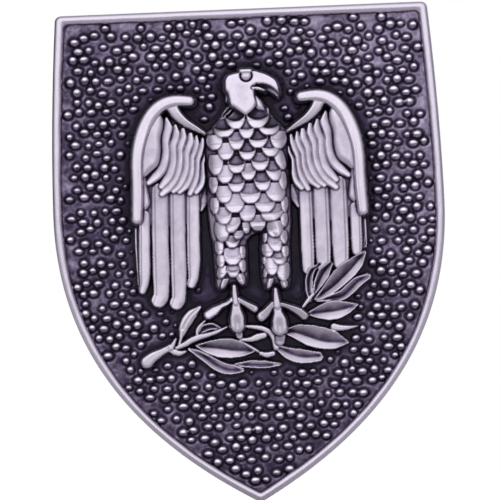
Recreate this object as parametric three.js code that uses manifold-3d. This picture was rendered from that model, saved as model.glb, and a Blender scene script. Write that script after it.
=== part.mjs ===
// Cap badge: a heater-shaped shield plate with a riveted eagle and laurel branch,
// two nail posts soldered to its back, and a butterfly clutch on each post.
//
// Millimetres, +Z up. The badge stands upright and faces -Y; the posts point to +Y.
// The origin is the middle of the blank tablet on the back, the face that the cap
// cloth lies against.

import * as THREE from 'three';
import { mergeVertices } from 'three/addons/utils/BufferGeometryUtils.js';
import Module from 'manifold-3d';

const wasm = await Module();
wasm.setup();

// ---------------------------------------------------------------- driving dimensions

// Shield outline
const TOP_Z = 24.6;
const TIP_Z = -24.75;
const HALF_TOP = 18.65; // half width along the top edge
const HALF_WIDEST = 19.57; // half width at WIDEST_Z
const WIDEST_Z = 4.5;
const CORNER_R = 0.8;

// Depths through the plate, from the tablet at y = 0 to the crown of the relief
const TABLET_Y = 0;
const BACK_Y = -0.5; // back of the plate
const FIELD_Y = -1.7; // sunk field that the relief stands on
const RIM_Y = -2.5; // crown of the rim bead
const RIM_WIDTH = 0.95;
const RIM_ROUND = 0.3;

// Heights of the relief above the field
const WEB = 0.35; // thin web that ties the feathers or leaves together
const PRIMARY = 1.1;
const COVERT = 1.4;
const ARM = 1.7;
const LEG = 1.9;
const TOE = 1.9;
const BODY = 2.3;
const HEAD = 2.6;
const LEAF = 0.9;
const STEM = 1.0;
const TOE_CLEARANCE = 0.3; // between the laurel and the toes that grip it

// Rivets that hold the two devices
const RIVET_R = 0.5;
const RIVET_HOLE_R = 0.62;
const RIVET_HEAD_R = 1.0;
const RIVET_HEAD_H = 0.4;
const EAGLE_RIVETS = { eagle_rivet_upper: [0, 12.5], eagle_rivet_lower: [0, 6.5] };
const EAGLE_RIVET_DEPTH = 1.3; // into the eagle, from the field
const LAUREL_RIVETS = { laurel_rivet_left: [-5.2, -9.0], laurel_rivet_right: [6.0, -8.4] };
const LAUREL_RIVET_DEPTH = 0.5;

// Posts, one each side
const POST_X = 9.5;
const POST_Z = 6;
const POST_R = 0.6;
const POST_GROOVE_R = 0.45;
const POST_TIP_Y = 8.2;
const FLANGE_R = 2.0;
const FLANGE_H = 0.4;
const SOLDER_R = 2.8;

// Butterfly clutch, as it sits with the cap cloth between it and the plate
const DISC_Y = 2.6; // face that presses on the cloth
const DISC_R = 5.7;
const SHEET = 0.35;
const CLUTCH_HOLE_R = 0.95;
const DRUM_R = 3.5;
const DRUM_TOP_Y = 5.2;
const DRUM_WALL = 0.3;
const SLOT = { inner: 1.3, outer: 2.6, half: 1.65 };
const SPRING = { thickness: 0.25, halfLength: 1.2, halfWidth: 1.6 };
const WING_SHEET = 0.25;
const WING_NECK_HALF = 1.5;
const WING_TAB_HALF = 2.4;

const ROUND_SIDES = 24;

// ---------------------------------------------------------------- materials

const metal = (color, roughness) => new THREE.MeshStandardMaterial({ color, roughness, metalness: 1 });
const antiqueSilver = metal(0xb4aebc, 0.35);
const darkSilver = metal(0x8d8796, 0.45);
const brass = metal(0xb59a5b, 0.4);
const nickel = metal(0xc9c6c0, 0.3);
const solder = metal(0x9c9ca0, 0.5);

// ---------------------------------------------------------------- geometry helpers

const xz = ([x, z]) => new THREE.Vector2(x, z);

function toManifold(geometry) {
  const bare = geometry.index ? geometry.toNonIndexed() : geometry;
  bare.deleteAttribute('normal');
  bare.deleteAttribute('uv');
  const merged = mergeVertices(bare, 1e-4);
  return new wasm.Manifold(new wasm.Mesh({
    numProp: 3,
    vertProperties: new Float32Array(merged.attributes.position.array),
    triVerts: new Uint32Array(merged.index.array),
  }));
}

function toGeometry(manifold) {
  const mesh = manifold.getMesh();
  const geometry = new THREE.BufferGeometry();
  geometry.setAttribute('position', new THREE.BufferAttribute(mesh.vertProperties, 3));
  geometry.setIndex(new THREE.BufferAttribute(mesh.triVerts, 1));
  geometry.computeVertexNormals();
  return geometry;
}

const join = (geometries) => geometries.map(toManifold).reduce((a, b) => a.add(b));

// A box given by its lowest and highest corners.
function block([x0, y0, z0], [x1, y1, z1]) {
  const geometry = new THREE.BoxGeometry(x1 - x0, y1 - y0, z1 - z0);
  return geometry.translate((x0 + x1) / 2, (y0 + y1) / 2, (z0 + z1) / 2);
}

// A round piece about the Y axis, from [radius, y] pairs.
function turned(profile, sides = ROUND_SIDES) {
  return new THREE.LatheGeometry(profile.map(xz), sides);
}

function rod(radius, y0, y1, [x, z] = [0, 0]) {
  return turned([[0, y0], [radius, y0], [radius, y1], [0, y1]], 16).translate(x, 0, z);
}

// An outline in X and Z raised from y = base towards the front by height. Its front
// edge is rounded; the matching rounding at the back lies behind the base.
function raise(shape, height, base = FIELD_Y, round = 0.12) {
  const geometry = new THREE.ExtrudeGeometry(shape, {
    depth: height - round,
    bevelThickness: round,
    bevelSize: round,
    bevelOffset: -round,
    bevelSegments: 1,
    curveSegments: 6,
  });
  return geometry.rotateX(Math.PI / 2).translate(0, base, 0);
}

// A smooth closed outline through hand-set points.
function blob(points, steps = 4 * points.length) {
  const curve = new THREE.CatmullRomCurve3(points.map(([x, z]) => new THREE.Vector3(x, z, 0)), true);
  return new THREE.Shape(curve.getPoints(steps).slice(0, -1).map((p) => new THREE.Vector2(p.x, p.y)));
}

// A strip along a smooth line, with its half width going through the given values.
function strip(line, halfWidths, steps = 6) {
  const curve = new THREE.SplineCurve(line.map(xz));
  const last = halfWidths.length - 1;
  const near = [];
  const far = [];
  for (let i = 0; i <= steps; i += 1) {
    const t = i / steps;
    const low = Math.min(Math.floor(t * last), last - 1);
    const width = THREE.MathUtils.lerp(halfWidths[low], halfWidths[low + 1], t * last - low);
    const point = curve.getPoint(t);
    const along = curve.getTangent(t);
    const side = new THREE.Vector2(-along.y, along.x).multiplyScalar(width);
    near.push(point.clone().add(side));
    far.unshift(point.clone().sub(side));
  }
  return new THREE.Shape([...near, ...far]);
}

// A pointed leaf from base to tip, with one side bowed to each control point.
function leaf(base, tip, sideA, sideB) {
  const shape = new THREE.Shape();
  shape.moveTo(...base);
  shape.quadraticCurveTo(...sideA, ...tip);
  shape.quadraticCurveTo(...sideB, ...base);
  return shape;
}

// A closed solid over loops of equal point count, which run clockwise as seen from the
// front and are listed from back to front. The first and last are capped flat.
function skin(loops) {
  const count = loops[0].length;
  const index = [];
  for (let start = 0; start < count * (loops.length - 1); start += count) {
    for (let i = 0; i < count; i += 1) {
      const a = start + i;
      const b = start + (i + 1) % count;
      index.push(a, a + count, b, b, a + count, b + count);
    }
  }
  const cap = (loop) => THREE.ShapeUtils.triangulateShape(loop.map((p) => new THREE.Vector2(p.x, p.z)), []);
  const last = count * (loops.length - 1);
  cap(loops[0]).forEach(([a, b, c]) => index.push(a, c, b));
  cap(loops.at(-1)).forEach(([a, b, c]) => index.push(last + a, last + b, last + c));
  const geometry = new THREE.BufferGeometry().setFromPoints(loops.flat());
  return geometry.setIndex(index);
}

// Trims a joined relief flush with the field and sinks its blind rivet sockets.
function device(parts, rivets, depth) {
  const behind = block([-30, FIELD_Y, -30], [30, FIELD_Y + 5, 30]);
  const sockets = Object.values(rivets).map((at) => rod(RIVET_HOLE_R, FIELD_Y - depth - 0.2, FIELD_Y + 1, at));
  return [behind, ...sockets].map(toManifold).reduce((whole, cut) => whole.subtract(cut), join(parts));
}

// ---------------------------------------------------------------- shield plate

// Right half of the outline, moved in by inset, then mirrored.
function shieldOutline(inset) {
  const radius = Math.max(CORNER_R - inset, 0.5);
  const half = HALF_TOP - inset;
  const top = TOP_Z - inset;
  const widest = HALF_WIDEST - inset;
  const path = new THREE.Path();
  path.moveTo(half - radius, top);
  path.quadraticCurveTo(half, top, half, top - radius);
  path.quadraticCurveTo(widest - 0.07, 13.5, widest, WIDEST_Z);
  path.bezierCurveTo(
    widest, -7.62 + 0.29 * inset,
    13.51 - 0.71 * inset, -17.21 + 0.75 * inset,
    0, TIP_Z + 1.145 * inset,
  );
  const right = path.getPoints(10);
  const left = right.slice(0, -1).reverse().map((p) => new THREE.Vector2(-p.x, p.y));
  return [...right, ...left];
}

function shieldPlate() {
  const crown = RIM_Y + RIM_ROUND;
  const sections = [
    [0.15, BACK_Y], [0, BACK_Y - 0.15], [0, crown], [0.1, RIM_Y + 0.1], [0.32, RIM_Y],
    [RIM_WIDTH - 0.32, RIM_Y], [RIM_WIDTH - 0.1, RIM_Y + 0.1], [RIM_WIDTH, crown], [RIM_WIDTH, FIELD_Y],
  ];
  const tray = skin(sections.map(([inset, y]) => shieldOutline(inset).map((p) => new THREE.Vector3(p.x, y, p.y))));

  const tablet = new THREE.ExtrudeGeometry(strip([[-3.5, 0], [3.5, 0]], [2.5, 2.5], 1), {
    depth: TABLET_Y - BACK_Y + 0.2,
    bevelEnabled: false,
  }).rotateX(Math.PI / 2).translate(0, TABLET_Y, 0);

  const holes = [...Object.values(EAGLE_RIVETS), ...Object.values(LAUREL_RIVETS)]
    .map((at) => rod(RIVET_HOLE_R, FIELD_Y - 1, TABLET_Y + 1, at));
  return holes.map(toManifold).reduce((plate, hole) => plate.subtract(hole), join([tray, tablet]));
}

// ---------------------------------------------------------------- eagle

// One wing. Points are those of the wing on the +X side; the other is its mirror
// image about MIRROR_X. feet holds where each of the four primaries ends.
const MIRROR_X = 0.2;

function wing(side, feet) {
  const place = ([x, z]) => [side > 0 ? x : 2 * MIRROR_X - x, z];
  const line = (points, widths, height, steps) => raise(strip(points.map(place), widths, steps), height);
  const primaries = [[10.55, 4.2, 0.5], [8.95, 6.4, 0.75], [7.3, 6.2, 0.72], [5.75, 5.8, 0.55]];
  const coverts = [
    [[8.1, 13.8], [8.2, 12], [8.0, 10], [8.6, 8.6], [9.8, 7.7]],
    [[7.5, 13.0], [7.8, 11.5], [7.4, 9.8], [7.9, 8.4], [8.8, 7.3]],
    [[6.9, 12.8], [7.2, 11.0], [6.8, 9.4], [7.2, 7.9], [8.5, 6.5]],
    [[6.3, 12.4], [6.6, 10.8], [6.2, 9.3], [6.5, 7.9], [7.3, 6.7]],
    [[5.6, 12.0], [5.9, 10.6], [5.6, 9.1], [5.8, 7.8], [6.5, 6.4]],
    [[4.9, 11.7], [5.2, 10.4], [5.0, 9.0], [5.2, 7.6], [5.8, 6.2]],
    [[4.3, 11.2], [4.5, 9.8], [4.4, 8.4], [4.8, 7.0], [5.2, 6.2]],
  ];
  return [
    line([[5.4, 15.6], [7.4, 15.7], [9.0, 15.0], [10.2, 13.2], [11.1, 10.0], [11.3, 4.0]],
      [0.4, 0.55, 0.62, 0.65, 0.65, 0.65], ARM, 12),
    line([[7.7, 14.9], [6.0, 13.4], [3.6, 12.1]], [0.45, 0.35, 0.3], ARM),
    raise(blob([[8.3, 13.6], [9.6, 13.4], [10.7, 11.5], [10.8, 8.4], [10.3, 8.2], [8.8, 9.4]].map(place)), COVERT),
    raise(blob([[3.2, 12.4], [8.0, 14.6], [10.6, 12.4], [11.2, 4.2], [9, 3.2], [5.2, 3.2], [3.2, 5]].map(place)), WEB, FIELD_Y, 0.1),
    line([[4.3, 6.6], [4.5, 5.6], [4.9, 4.7]], [0.35, 0.35, 0.22], PRIMARY),
    ...coverts.map((points) => line(points, [0.3, 0.36, 0.36, 0.3], COVERT)),
    ...primaries.map(([x, top, half], i) => line([[x, top], [x, feet[i]]], [half, half], PRIMARY, 1)),
  ];
}

// A foot: the ankle stands on the field, the toes reach over the laurel.
function foot(ankle, toes) {
  const bottom = FIELD_Y - STEM - TOE_CLEARANCE;
  const toe = ([points, widths]) => raise(strip(points, widths), TOE - STEM - TOE_CLEARANCE - 0.1, bottom - 0.1, 0.1);
  return [raise(strip(ankle, [0.5, 0.35, 0.35]), TOE), ...toes.map(toe)];
}

function eagle() {
  const body = blob([[-1.9, 14.4], [-3.5, 12.6], [-3.9, 9], [-3.9, 5], [-3.2, 2.6], [0.2, 2.5],
    [3.6, 2.6], [4.1, 5], [4.1, 9], [3.7, 12.6], [1.9, 14.4]]);
  const head = blob([[-1.7, 14.2], [-1.95, 16.8], [-1.0, 18.1], [0.9, 18.2], [2.8, 17.5], [3.5, 15.9],
    [2.3, 16.5], [1.2, 16.1], [1.8, 14.4], [0.1, 13.6]]);
  const parts = [
    raise(body, BODY, FIELD_Y, 0.5),
    raise(head, HEAD, FIELD_Y, 0.12),
    raise(strip([[-2.2, 4], [-2.1, 0], [-2.0, -3.2]], [1.5, 1.5, 1.2]), LEG, FIELD_Y, 0.4),
    raise(strip([[2.4, 4], [2.4, 0], [2.4, -3.5]], [1.45, 1.4, 1.2]), LEG, FIELD_Y, 0.4),
    ...wing(-1, [-3.3, -4.5, -4.8, -3.0]),
    ...wing(1, [0.3, -0.4, -0.7, -0.9]),
    ...foot([[-1.8, -2.6], [-1.75, -3.6], [-1.7, -4.6]], [
      [[[-1.72, -4.0], [-1.65, -6.2], [-1.55, -8.1]], [0.3, 0.4, 0.75, 0.4]],
      [[[-1.7, -4.2], [-3.2, -5.0], [-4.7, -5.9]], [0.2, 0.25, 0.4]],
      [[[-1.7, -4.2], [-0.7, -4.8], [0.2, -5.4]], [0.2, 0.25, 0.35]],
    ]),
    ...foot([[2.3, -2.9], [2.3, -4.0], [2.35, -5.0]], [
      [[[2.35, -4.6], [2.5, -6.8], [2.6, -8.6]], [0.3, 0.4, 0.78, 0.4]],
      [[[2.35, -4.9], [1.5, -5.5], [0.7, -6.3]], [0.2, 0.25, 0.4]],
      [[[2.35, -4.9], [3.8, -5.4], [5.2, -6.4]], [0.2, 0.25, 0.4]],
    ]),
  ];
  return device(parts, EAGLE_RIVETS, EAGLE_RIVET_DEPTH);
}

// ---------------------------------------------------------------- laurel branch

function laurelBranch() {
  const leaves = [
    leaf([-7.8, -9.0], [-5.2, -5.0], [-7.8, -5.2], [-5.4, -7.0]),
    leaf([-6.4, -8.2], [-4.6, -6.2], [-5.8, -6.6], [-5.0, -7.4]),
    leaf([-6.2, -8.8], [0.6, -9.5], [-2.6, -7.2], [-2.6, -11.2]),
    leaf([-6.8, -9.0], [-1.2, -11.5], [-3.4, -9.6], [-4.0, -12.6]),
    leaf([-2.2, -10.9], [2.6, -11.0], [0.2, -9.6], [0.4, -11.8]),
    leaf([-1.8, -8.5], [1.4, -8.1], [0, -7.6], [0, -9.2]),
    leaf([2.8, -7.6], [9.4, -9.1], [7.2, -6.4], [5.0, -10.4]),
    leaf([1.8, -9.2], [6.4, -10.6], [5.4, -8.8], [3.0, -11.8]),
    leaf([4.8, -5.8], [10.3, -5.4], [7.6, -4.2], [7.6, -8.0]),
    leaf([6.2, -8.0], [10.3, -7.5], [8.4, -6.6], [8.6, -8.6]),
    leaf([5.7, -4.9], [11.3, -0.2], [7.4, -0.8], [11.0, -3.4]),
    leaf([5.9, -4.6], [8.0, -1.3], [6.0, -1.4], [8.4, -2.6]),
    leaf([5.2, -5.2], [6.6, -1.4], [4.8, -1.6], [6.4, -3.0]),
    leaf([5.6, -5.0], [11.8, -2.4], [9.6, -3.2], [9.6, -5.4]),
  ];
  const stems = [
    strip([[-10.9, -10.4], [-9.3, -9.5], [-7.4, -8.9], [-4.5, -7.6], [-2.7, -7.2]], [0.75, 0.5, 0.55, 0.35, 0.3], 10),
    strip([[-2.9, -7.25], [-1, -7.0], [0.8, -7.3], [2.0, -8.4], [2.2, -9.6]], [0.3, 0.3, 0.35, 0.4], 10),
    strip([[2.0, -8.6], [4.2, -7.0], [5.1, -5.6], [6.1, -4.4]], [0.5, 0.35, 0.25], 8),
  ];
  const knot = blob([[0.4, -9.7], [1.2, -9.4], [2.2, -9.6], [2.1, -10.2], [1.1, -10.3]]);
  const web = blob([[-6.5, -9.2], [-3, -8.2], [2, -8.4], [5.5, -8.2], [5.5, -9.8], [1, -11.1], [-3.2, -11.2]]);
  const parts = [
    ...leaves.map((shape) => raise(shape, LEAF, FIELD_Y, 0.1)),
    ...stems.map((shape) => raise(shape, STEM)),
    raise(knot, LEAF),
    raise(web, WEB, FIELD_Y, 0.1),
  ];
  return device(parts, LAUREL_RIVETS, LAUREL_RIVET_DEPTH);
}

// ---------------------------------------------------------------- fixings on the back

function rivet([x, z], depth) {
  const head = BACK_Y + RIVET_HEAD_H;
  return turned([
    [0, FIELD_Y - depth], [RIVET_R, FIELD_Y - depth], [RIVET_R, BACK_Y],
    [RIVET_HEAD_R, BACK_Y], [RIVET_HEAD_R * 0.94, BACK_Y + RIVET_HEAD_H * 0.5],
    [RIVET_HEAD_R * 0.6, head - 0.05], [0, head],
  ], 16).translate(x, 0, z);
}

function post() {
  const flangeTop = BACK_Y + FLANGE_H;
  return turned([
    [0, BACK_Y], [FLANGE_R, BACK_Y], [FLANGE_R, flangeTop - 0.1], [FLANGE_R - 0.1, flangeTop],
    [POST_R + 0.2, flangeTop], [POST_R, flangeTop + 0.2], [POST_R, 5.5], [POST_GROOVE_R, 5.65],
    [POST_GROOVE_R, 6.15], [POST_R, 6.3], [POST_R, 7.0], [0.12, POST_TIP_Y - 0.05], [0, POST_TIP_Y],
  ], 16);
}

function solderFillet() {
  const inner = FLANGE_R + 0.05;
  return turned([
    [inner, BACK_Y], [SOLDER_R, BACK_Y], [inner + 0.35, BACK_Y + 0.12], [inner, BACK_Y + 0.34], [inner, BACK_Y],
  ]);
}

// ---------------------------------------------------------------- butterfly clutch

function clutchDisc() {
  const back = DISC_Y + SHEET;
  return turned([
    [CLUTCH_HOLE_R, DISC_Y], [DISC_R - 0.5, DISC_Y], [DISC_R - 0.1, DISC_Y + 0.15], [DISC_R, DISC_Y + 0.45],
    [DISC_R - 0.25, DISC_Y + 0.6], [DISC_R - 0.45, back], [CLUTCH_HOLE_R, back], [CLUTCH_HOLE_R, DISC_Y],
  ], 32);
}

function clutchHousing() {
  const base = DISC_Y + SHEET;
  const ceiling = DRUM_TOP_Y - DRUM_WALL;
  const inner = DRUM_R - DRUM_WALL;
  const cup = turned([
    [inner, base], [DRUM_R + 0.8, base], [DRUM_R + 0.8, base + 0.25], [DRUM_R + 0.1, base + 0.3],
    [DRUM_R, ceiling], [DRUM_R - 0.3, DRUM_TOP_Y], [CLUTCH_HOLE_R, DRUM_TOP_Y], [CLUTCH_HOLE_R, ceiling],
    [inner - 0.2, ceiling], [inner, ceiling - 0.2], [inner, base],
  ]);
  const slot = (side) => block(
    [Math.min(side * SLOT.inner, side * SLOT.outer), ceiling - 0.3, -SLOT.half],
    [Math.max(side * SLOT.inner, side * SLOT.outer), DRUM_TOP_Y + 0.3, SLOT.half],
  );
  return toGeometry(toManifold(cup).subtract(toManifold(slot(-1))).subtract(toManifold(slot(1))));
}

// Flat middle of the spring strip, under the housing's ceiling.
function clutchSpring() {
  const ceiling = DRUM_TOP_Y - DRUM_WALL;
  const plate = block(
    [-SPRING.halfLength, ceiling - SPRING.thickness, -SPRING.halfWidth],
    [SPRING.halfLength, ceiling, SPRING.halfWidth],
  );
  return toGeometry(toManifold(plate).subtract(toManifold(rod(CLUTCH_HOLE_R, ceiling - 1, ceiling + 1))));
}

// One wing of the spring: a jaw beside the post, a bend, and a flared finger tab.
// side is +1 or -1 along X.
function clutchWing(side) {
  const bend = [[0.68, 3.5], [1.35, 3.52], [1.75, 4.1], [1.9, 4.7], [2.3, 5.6], [3.3, 7.3], [4.2, 8.3], [4.7, 8.5]];
  const profile = strip(bend.map(([a, y]) => [side * a, y]), [WING_SHEET / 2, WING_SHEET / 2], 14);
  const sheet = new THREE.ExtrudeGeometry(profile, { depth: 2 * WING_TAB_HALF, bevelEnabled: false })
    .translate(0, 0, -WING_TAB_HALF);

  // Front view of the wing in Z and Y: a neck that passes the slot, then the tab.
  const front = new THREE.Shape();
  front.moveTo(-WING_NECK_HALF, 3);
  front.lineTo(WING_NECK_HALF, 3);
  front.lineTo(WING_NECK_HALF, 5.5);
  front.quadraticCurveTo(WING_NECK_HALF, 6.2, WING_TAB_HALF, 6.9);
  front.quadraticCurveTo(WING_TAB_HALF, 9.0, 0, 9.0);
  front.quadraticCurveTo(-WING_TAB_HALF, 9.0, -WING_TAB_HALF, 6.9);
  front.quadraticCurveTo(-WING_NECK_HALF, 6.2, -WING_NECK_HALF, 5.5);
  const cutter = new THREE.ExtrudeGeometry(front, { depth: 12, bevelEnabled: false, curveSegments: 6 })
    .translate(0, 0, -6).rotateY(Math.PI / 2);
  return toGeometry(toManifold(sheet).intersect(toManifold(cutter)));
}

// ---------------------------------------------------------------- assembly

const badge = new THREE.Group();

function add(parent, name, geometry, material) {
  const mesh = new THREE.Mesh(geometry, material);
  mesh.name = name;
  parent.add(mesh);
}

add(badge, 'shield_plate', toGeometry(shieldPlate()), darkSilver);
add(badge, 'eagle', toGeometry(eagle()), antiqueSilver);
add(badge, 'laurel_branch', toGeometry(laurelBranch()), antiqueSilver);
Object.entries(EAGLE_RIVETS).forEach(([name, at]) => add(badge, name, rivet(at, EAGLE_RIVET_DEPTH), brass));
Object.entries(LAUREL_RIVETS).forEach(([name, at]) => add(badge, name, rivet(at, LAUREL_RIVET_DEPTH), brass));

for (const [hand, side] of [['left', -1], ['right', 1]]) {
  const fixing = new THREE.Group();
  fixing.position.set(side * POST_X, 0, POST_Z);
  add(fixing, `post_${hand}`, post(), nickel);
  add(fixing, `solder_fillet_${hand}`, solderFillet(), solder);
  add(fixing, `clutch_${hand}_disc`, clutchDisc(), brass);
  add(fixing, `clutch_${hand}_housing`, clutchHousing(), brass);
  add(fixing, `clutch_${hand}_spring`, clutchSpring(), nickel);
  add(fixing, `clutch_${hand}_wing_outer`, clutchWing(side), nickel);
  add(fixing, `clutch_${hand}_wing_inner`, clutchWing(-side), nickel);
  badge.add(fixing);
}

export default badge;
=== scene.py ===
"""Looks of the cap badge: the struck relief, its antique-silver finish and the fittings on the back.

The relief is worked out in millimetres on a grid over the badge's face: X to the right,
Z up, and the height above the sunk field, which is then laid towards the front, -Y.
Each feather, scale, leaf and toe is painted over what lies under it, and the painted
surface is cut into one closed piece for each device. Blender objects are in metres.
"""

import math

import bmesh
import bpy
import numpy as np
from mathutils import Matrix, Vector


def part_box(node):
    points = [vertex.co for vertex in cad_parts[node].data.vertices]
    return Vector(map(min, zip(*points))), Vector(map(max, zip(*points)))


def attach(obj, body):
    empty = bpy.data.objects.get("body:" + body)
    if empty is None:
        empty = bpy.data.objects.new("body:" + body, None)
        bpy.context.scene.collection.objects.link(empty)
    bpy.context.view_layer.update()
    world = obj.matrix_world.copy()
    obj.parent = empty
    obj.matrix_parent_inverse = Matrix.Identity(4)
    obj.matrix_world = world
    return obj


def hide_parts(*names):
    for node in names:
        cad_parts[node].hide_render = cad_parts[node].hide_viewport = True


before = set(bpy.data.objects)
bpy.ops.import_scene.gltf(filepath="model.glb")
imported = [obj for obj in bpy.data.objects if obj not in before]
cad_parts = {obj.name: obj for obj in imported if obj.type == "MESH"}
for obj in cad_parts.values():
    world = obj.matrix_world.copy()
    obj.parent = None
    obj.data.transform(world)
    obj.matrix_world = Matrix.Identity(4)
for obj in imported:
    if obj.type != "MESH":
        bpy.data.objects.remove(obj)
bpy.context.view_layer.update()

MM = 0.001
BADGE = "badge"
HANDS = {"left": -1, "right": 1}

# ------------------------------------------------------------------ sizes from the frame


def box_mm(node):
    """Lowest and highest corner of a CAD node, in millimetres."""
    low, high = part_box(node)
    return Vector(low) / MM, Vector(high) / MM


PLATE_LOW, PLATE_HIGH = box_mm("shield_plate")
FIELD_Y = box_mm("eagle")[1].y  # the devices' flat backs stand on the field
BACK_Y = box_mm("post_left")[0].y  # the posts' flanges stand on the plate's back
RIM_Y = PLATE_LOW.y
HALF_WIDEST = PLATE_HIGH.x
TOP_Z = PLATE_HIGH.z
TIP_Z = PLATE_LOW.z
HALF_TOP = HALF_WIDEST - 0.92
WIDEST_Z = 4.5
CORNER_R = 0.8
RIM_WIDTH = 0.95

RELIEF_STEP = 0.065  # grid of the devices
FIELD_STEP = 0.105  # grid of the field and its pellets
SUNK = -0.3  # a device's surface outside its outline, under the field
EDGE = 0.11  # width over which an outline's edge rises
GROW = 0.08  # added to every band's half width
FLANK_SLOPE = 4.5  # fall of a device's flanks, in mm for each mm
FLANK_REACH = 0.55  # and how far out they go
FLANK_STAIN = 0.12  # how much blacker they are
MOAT = 0.42  # spread of the smooth ground round the devices
BURIED = 0.3  # how deep in the plate a device's back lies

EAGLE, WING_LEFT, WING_RIGHT, LAUREL = range(4)

rng = np.random.default_rng(11)

# ------------------------------------------------------------------ curves and grids


def smooth(t):
    t = np.clip(t, 0.0, 1.0)
    return t * t * (3.0 - 2.0 * t)


def curve(points, per_span=8, closed=False):
    """A smooth line through given points."""
    p = np.array(points, dtype=float)
    if closed:
        p = np.vstack([p[-1], p, p[0], p[1]])
    else:
        p = np.vstack([2 * p[0] - p[1], p, 2 * p[-1] - p[-2]])
    t = np.linspace(0, 1, per_span, endpoint=False)[:, None]
    spans = []
    for a, b, c, d in zip(p[:-3], p[1:-2], p[2:-1], p[3:]):
        cubic = 3 * (b - c) + d - a
        spans.append(b + 0.5 * ((c - a) * t + (2 * a - 5 * b + 4 * c - d) * t**2 + cubic * t**3))
    line = np.vstack(spans)
    return line if closed else np.vstack([line, p[-2]])


def noise(x, z, size, seed, octaves=2):
    """Smooth value noise, about -1 to 1, with features of the given size."""
    total = np.zeros_like(x)
    for octave in range(octaves):
        table = np.random.default_rng(seed + octave).uniform(-1, 1, (64, 64))
        u = x / size * 2**octave + 31.7
        v = z / size * 2**octave + 17.3
        i, j = np.floor(u).astype(int), np.floor(v).astype(int)
        fu, fv = smooth(u - i), smooth(v - j)
        corner = [[table[(j + b) % 64, (i + a) % 64] for a in (0, 1)] for b in (0, 1)]
        low = corner[0][0] * (1 - fu) + corner[0][1] * fu
        high = corner[1][0] * (1 - fu) + corner[1][1] * fu
        total += (low * (1 - fv) + high * fv) / 2**octave
    return total


class Canvas:
    """Heights above the field on a grid, how stained or painted with shade and highlight they are, and
    whose each point is.
    """

    def __init__(self, step):
        self.step = step
        self.x = np.arange(-HALF_WIDEST - 0.1, HALF_WIDEST + 0.1, step)
        self.z = np.arange(TIP_Z - 0.1, TOP_Z + 0.1, step)
        self.h = np.full((self.z.size, self.x.size), float(SUNK))
        self.stain_and_shade = np.zeros(self.h.shape)
        self.owner = np.full(self.h.shape, -1)

    def window(self, points, margin):
        low, high = points.min(0) - margin, points.max(0) + margin
        i = np.searchsorted(self.x, [low[0], high[0]])
        j = np.searchsorted(self.z, [low[1], high[1]])
        cut = np.s_[j[0] : j[1], i[0] : i[1]]
        gx, gz = np.meshgrid(self.x[cut[1]], self.z[cut[0]])
        return cut, gx, gz

    def paint(self, cut, inside, height, owner, stain_and_shade):
        """Lays a height and a stain, which may also hold painted shade or highlight, over the canvas where
        inside, in mm, is above 0.
        """
        cover = smooth(inside / EDGE)
        self.h[cut] += (height - self.h[cut]) * cover
        self.stain_and_shade[cut] += (stain_and_shade - self.stain_and_shade[cut]) * cover
        self.owner[cut][cover > 0.35] = owner

    def sample(self, values, x, z):
        """Bilinear look-up of an array on this grid."""
        u = np.clip((x - self.x[0]) / self.step, 0, self.x.size - 1.001)
        v = np.clip((z - self.z[0]) / self.step, 0, self.z.size - 1.001)
        i, j = u.astype(int), v.astype(int)
        fu, fv = u - i, v - j
        low = values[j, i] * (1 - fu) + values[j, i + 1] * fu
        high = values[j + 1, i] * (1 - fu) + values[j + 1, i + 1] * fu
        return low * (1 - fv) + high * fv


def soften(values, radius):
    """Gaussian blur over a number of grid steps."""
    reach = int(3 * radius) + 1
    taps = np.exp(-0.5 * (np.arange(-reach, reach + 1) / radius) ** 2)
    taps /= taps.sum()
    for axis in (0, 1):
        pad = [(reach, reach) if a == axis else (0, 0) for a in (0, 1)]
        wide = np.pad(values, pad, mode="edge")
        size = values.shape[axis]
        values = sum(w * np.take(wide, range(k, k + size), axis=axis) for k, w in enumerate(taps))
    return values


def near_line(line, gx, gz):
    """Distance to a line, the signed side (left is +) and how far along it, 0 to 1."""
    a, b = line[:-1], line[1:]
    step = b - a
    length = np.hypot(step[:, 0], step[:, 1])
    start = np.concatenate([[0], np.cumsum(length)])
    px, pz = gx[..., None] - a[:, 0], gz[..., None] - a[:, 1]
    t = np.clip((px * step[:, 0] + pz * step[:, 1]) / length**2, 0, 1)
    distance = np.hypot(px - t * step[:, 0], pz - t * step[:, 1])
    k = distance.argmin(-1)

    def pick(values):
        return np.take_along_axis(values, k[..., None], -1)[..., 0]

    side = pick(step[:, 0] * pz - step[:, 1] * px) / length[k]
    along = (start[k] + pick(t) * length[k]) / start[-1]
    return pick(distance), side, along


def inside_outline(outline, gx, gz):
    """Distance in from a closed outline; negative outside it."""
    loop = np.vstack([outline, outline[0]])
    distance = near_line(loop, gx, gz)[0]
    a, b = loop[:-1], loop[1:]
    crosses = (a[:, 1] > gz[..., None]) != (b[:, 1] > gz[..., None])
    rise = np.where(b[:, 1] == a[:, 1], 1e-9, b[:, 1] - a[:, 1])
    at = a[:, 0] + (gz[..., None] - a[:, 1]) / rise * (b[:, 0] - a[:, 0])
    odd = (crosses & (gx[..., None] < at)).sum(-1) % 2 == 1
    return np.where(odd, distance, -distance)


# ------------------------------------------------------------------ relief elements


def spread(widths, along):
    return np.interp(along, np.linspace(0, 1, len(widths)), widths)


def ribbon(canvas, line, left, right):
    """Grid coordinates of a band: left and right are its half widths along the line.

    Returns the window, the distance in from the edge, the place across from -1 (right
    edge) to 1 (left edge), the place along, and the half width there."""
    points = curve(line)
    cut, gx, gz = canvas.window(points, max(max(left), max(right)) + 0.3)
    distance, side, along = near_line(points, gx, gz)
    half = np.where(side > 0, spread(left, along), spread(right, along)) + GROW
    return cut, half - distance, np.clip(side / half, -1, 1), along, half


def rounded(inside, low, high, reach):
    """A rounded swelling that starts at low on the outline and levels off at high."""
    r = np.clip(inside / reach, 0, 1)
    return low + (high - low) * np.sqrt(1 - (1 - r) ** 2)


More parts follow.
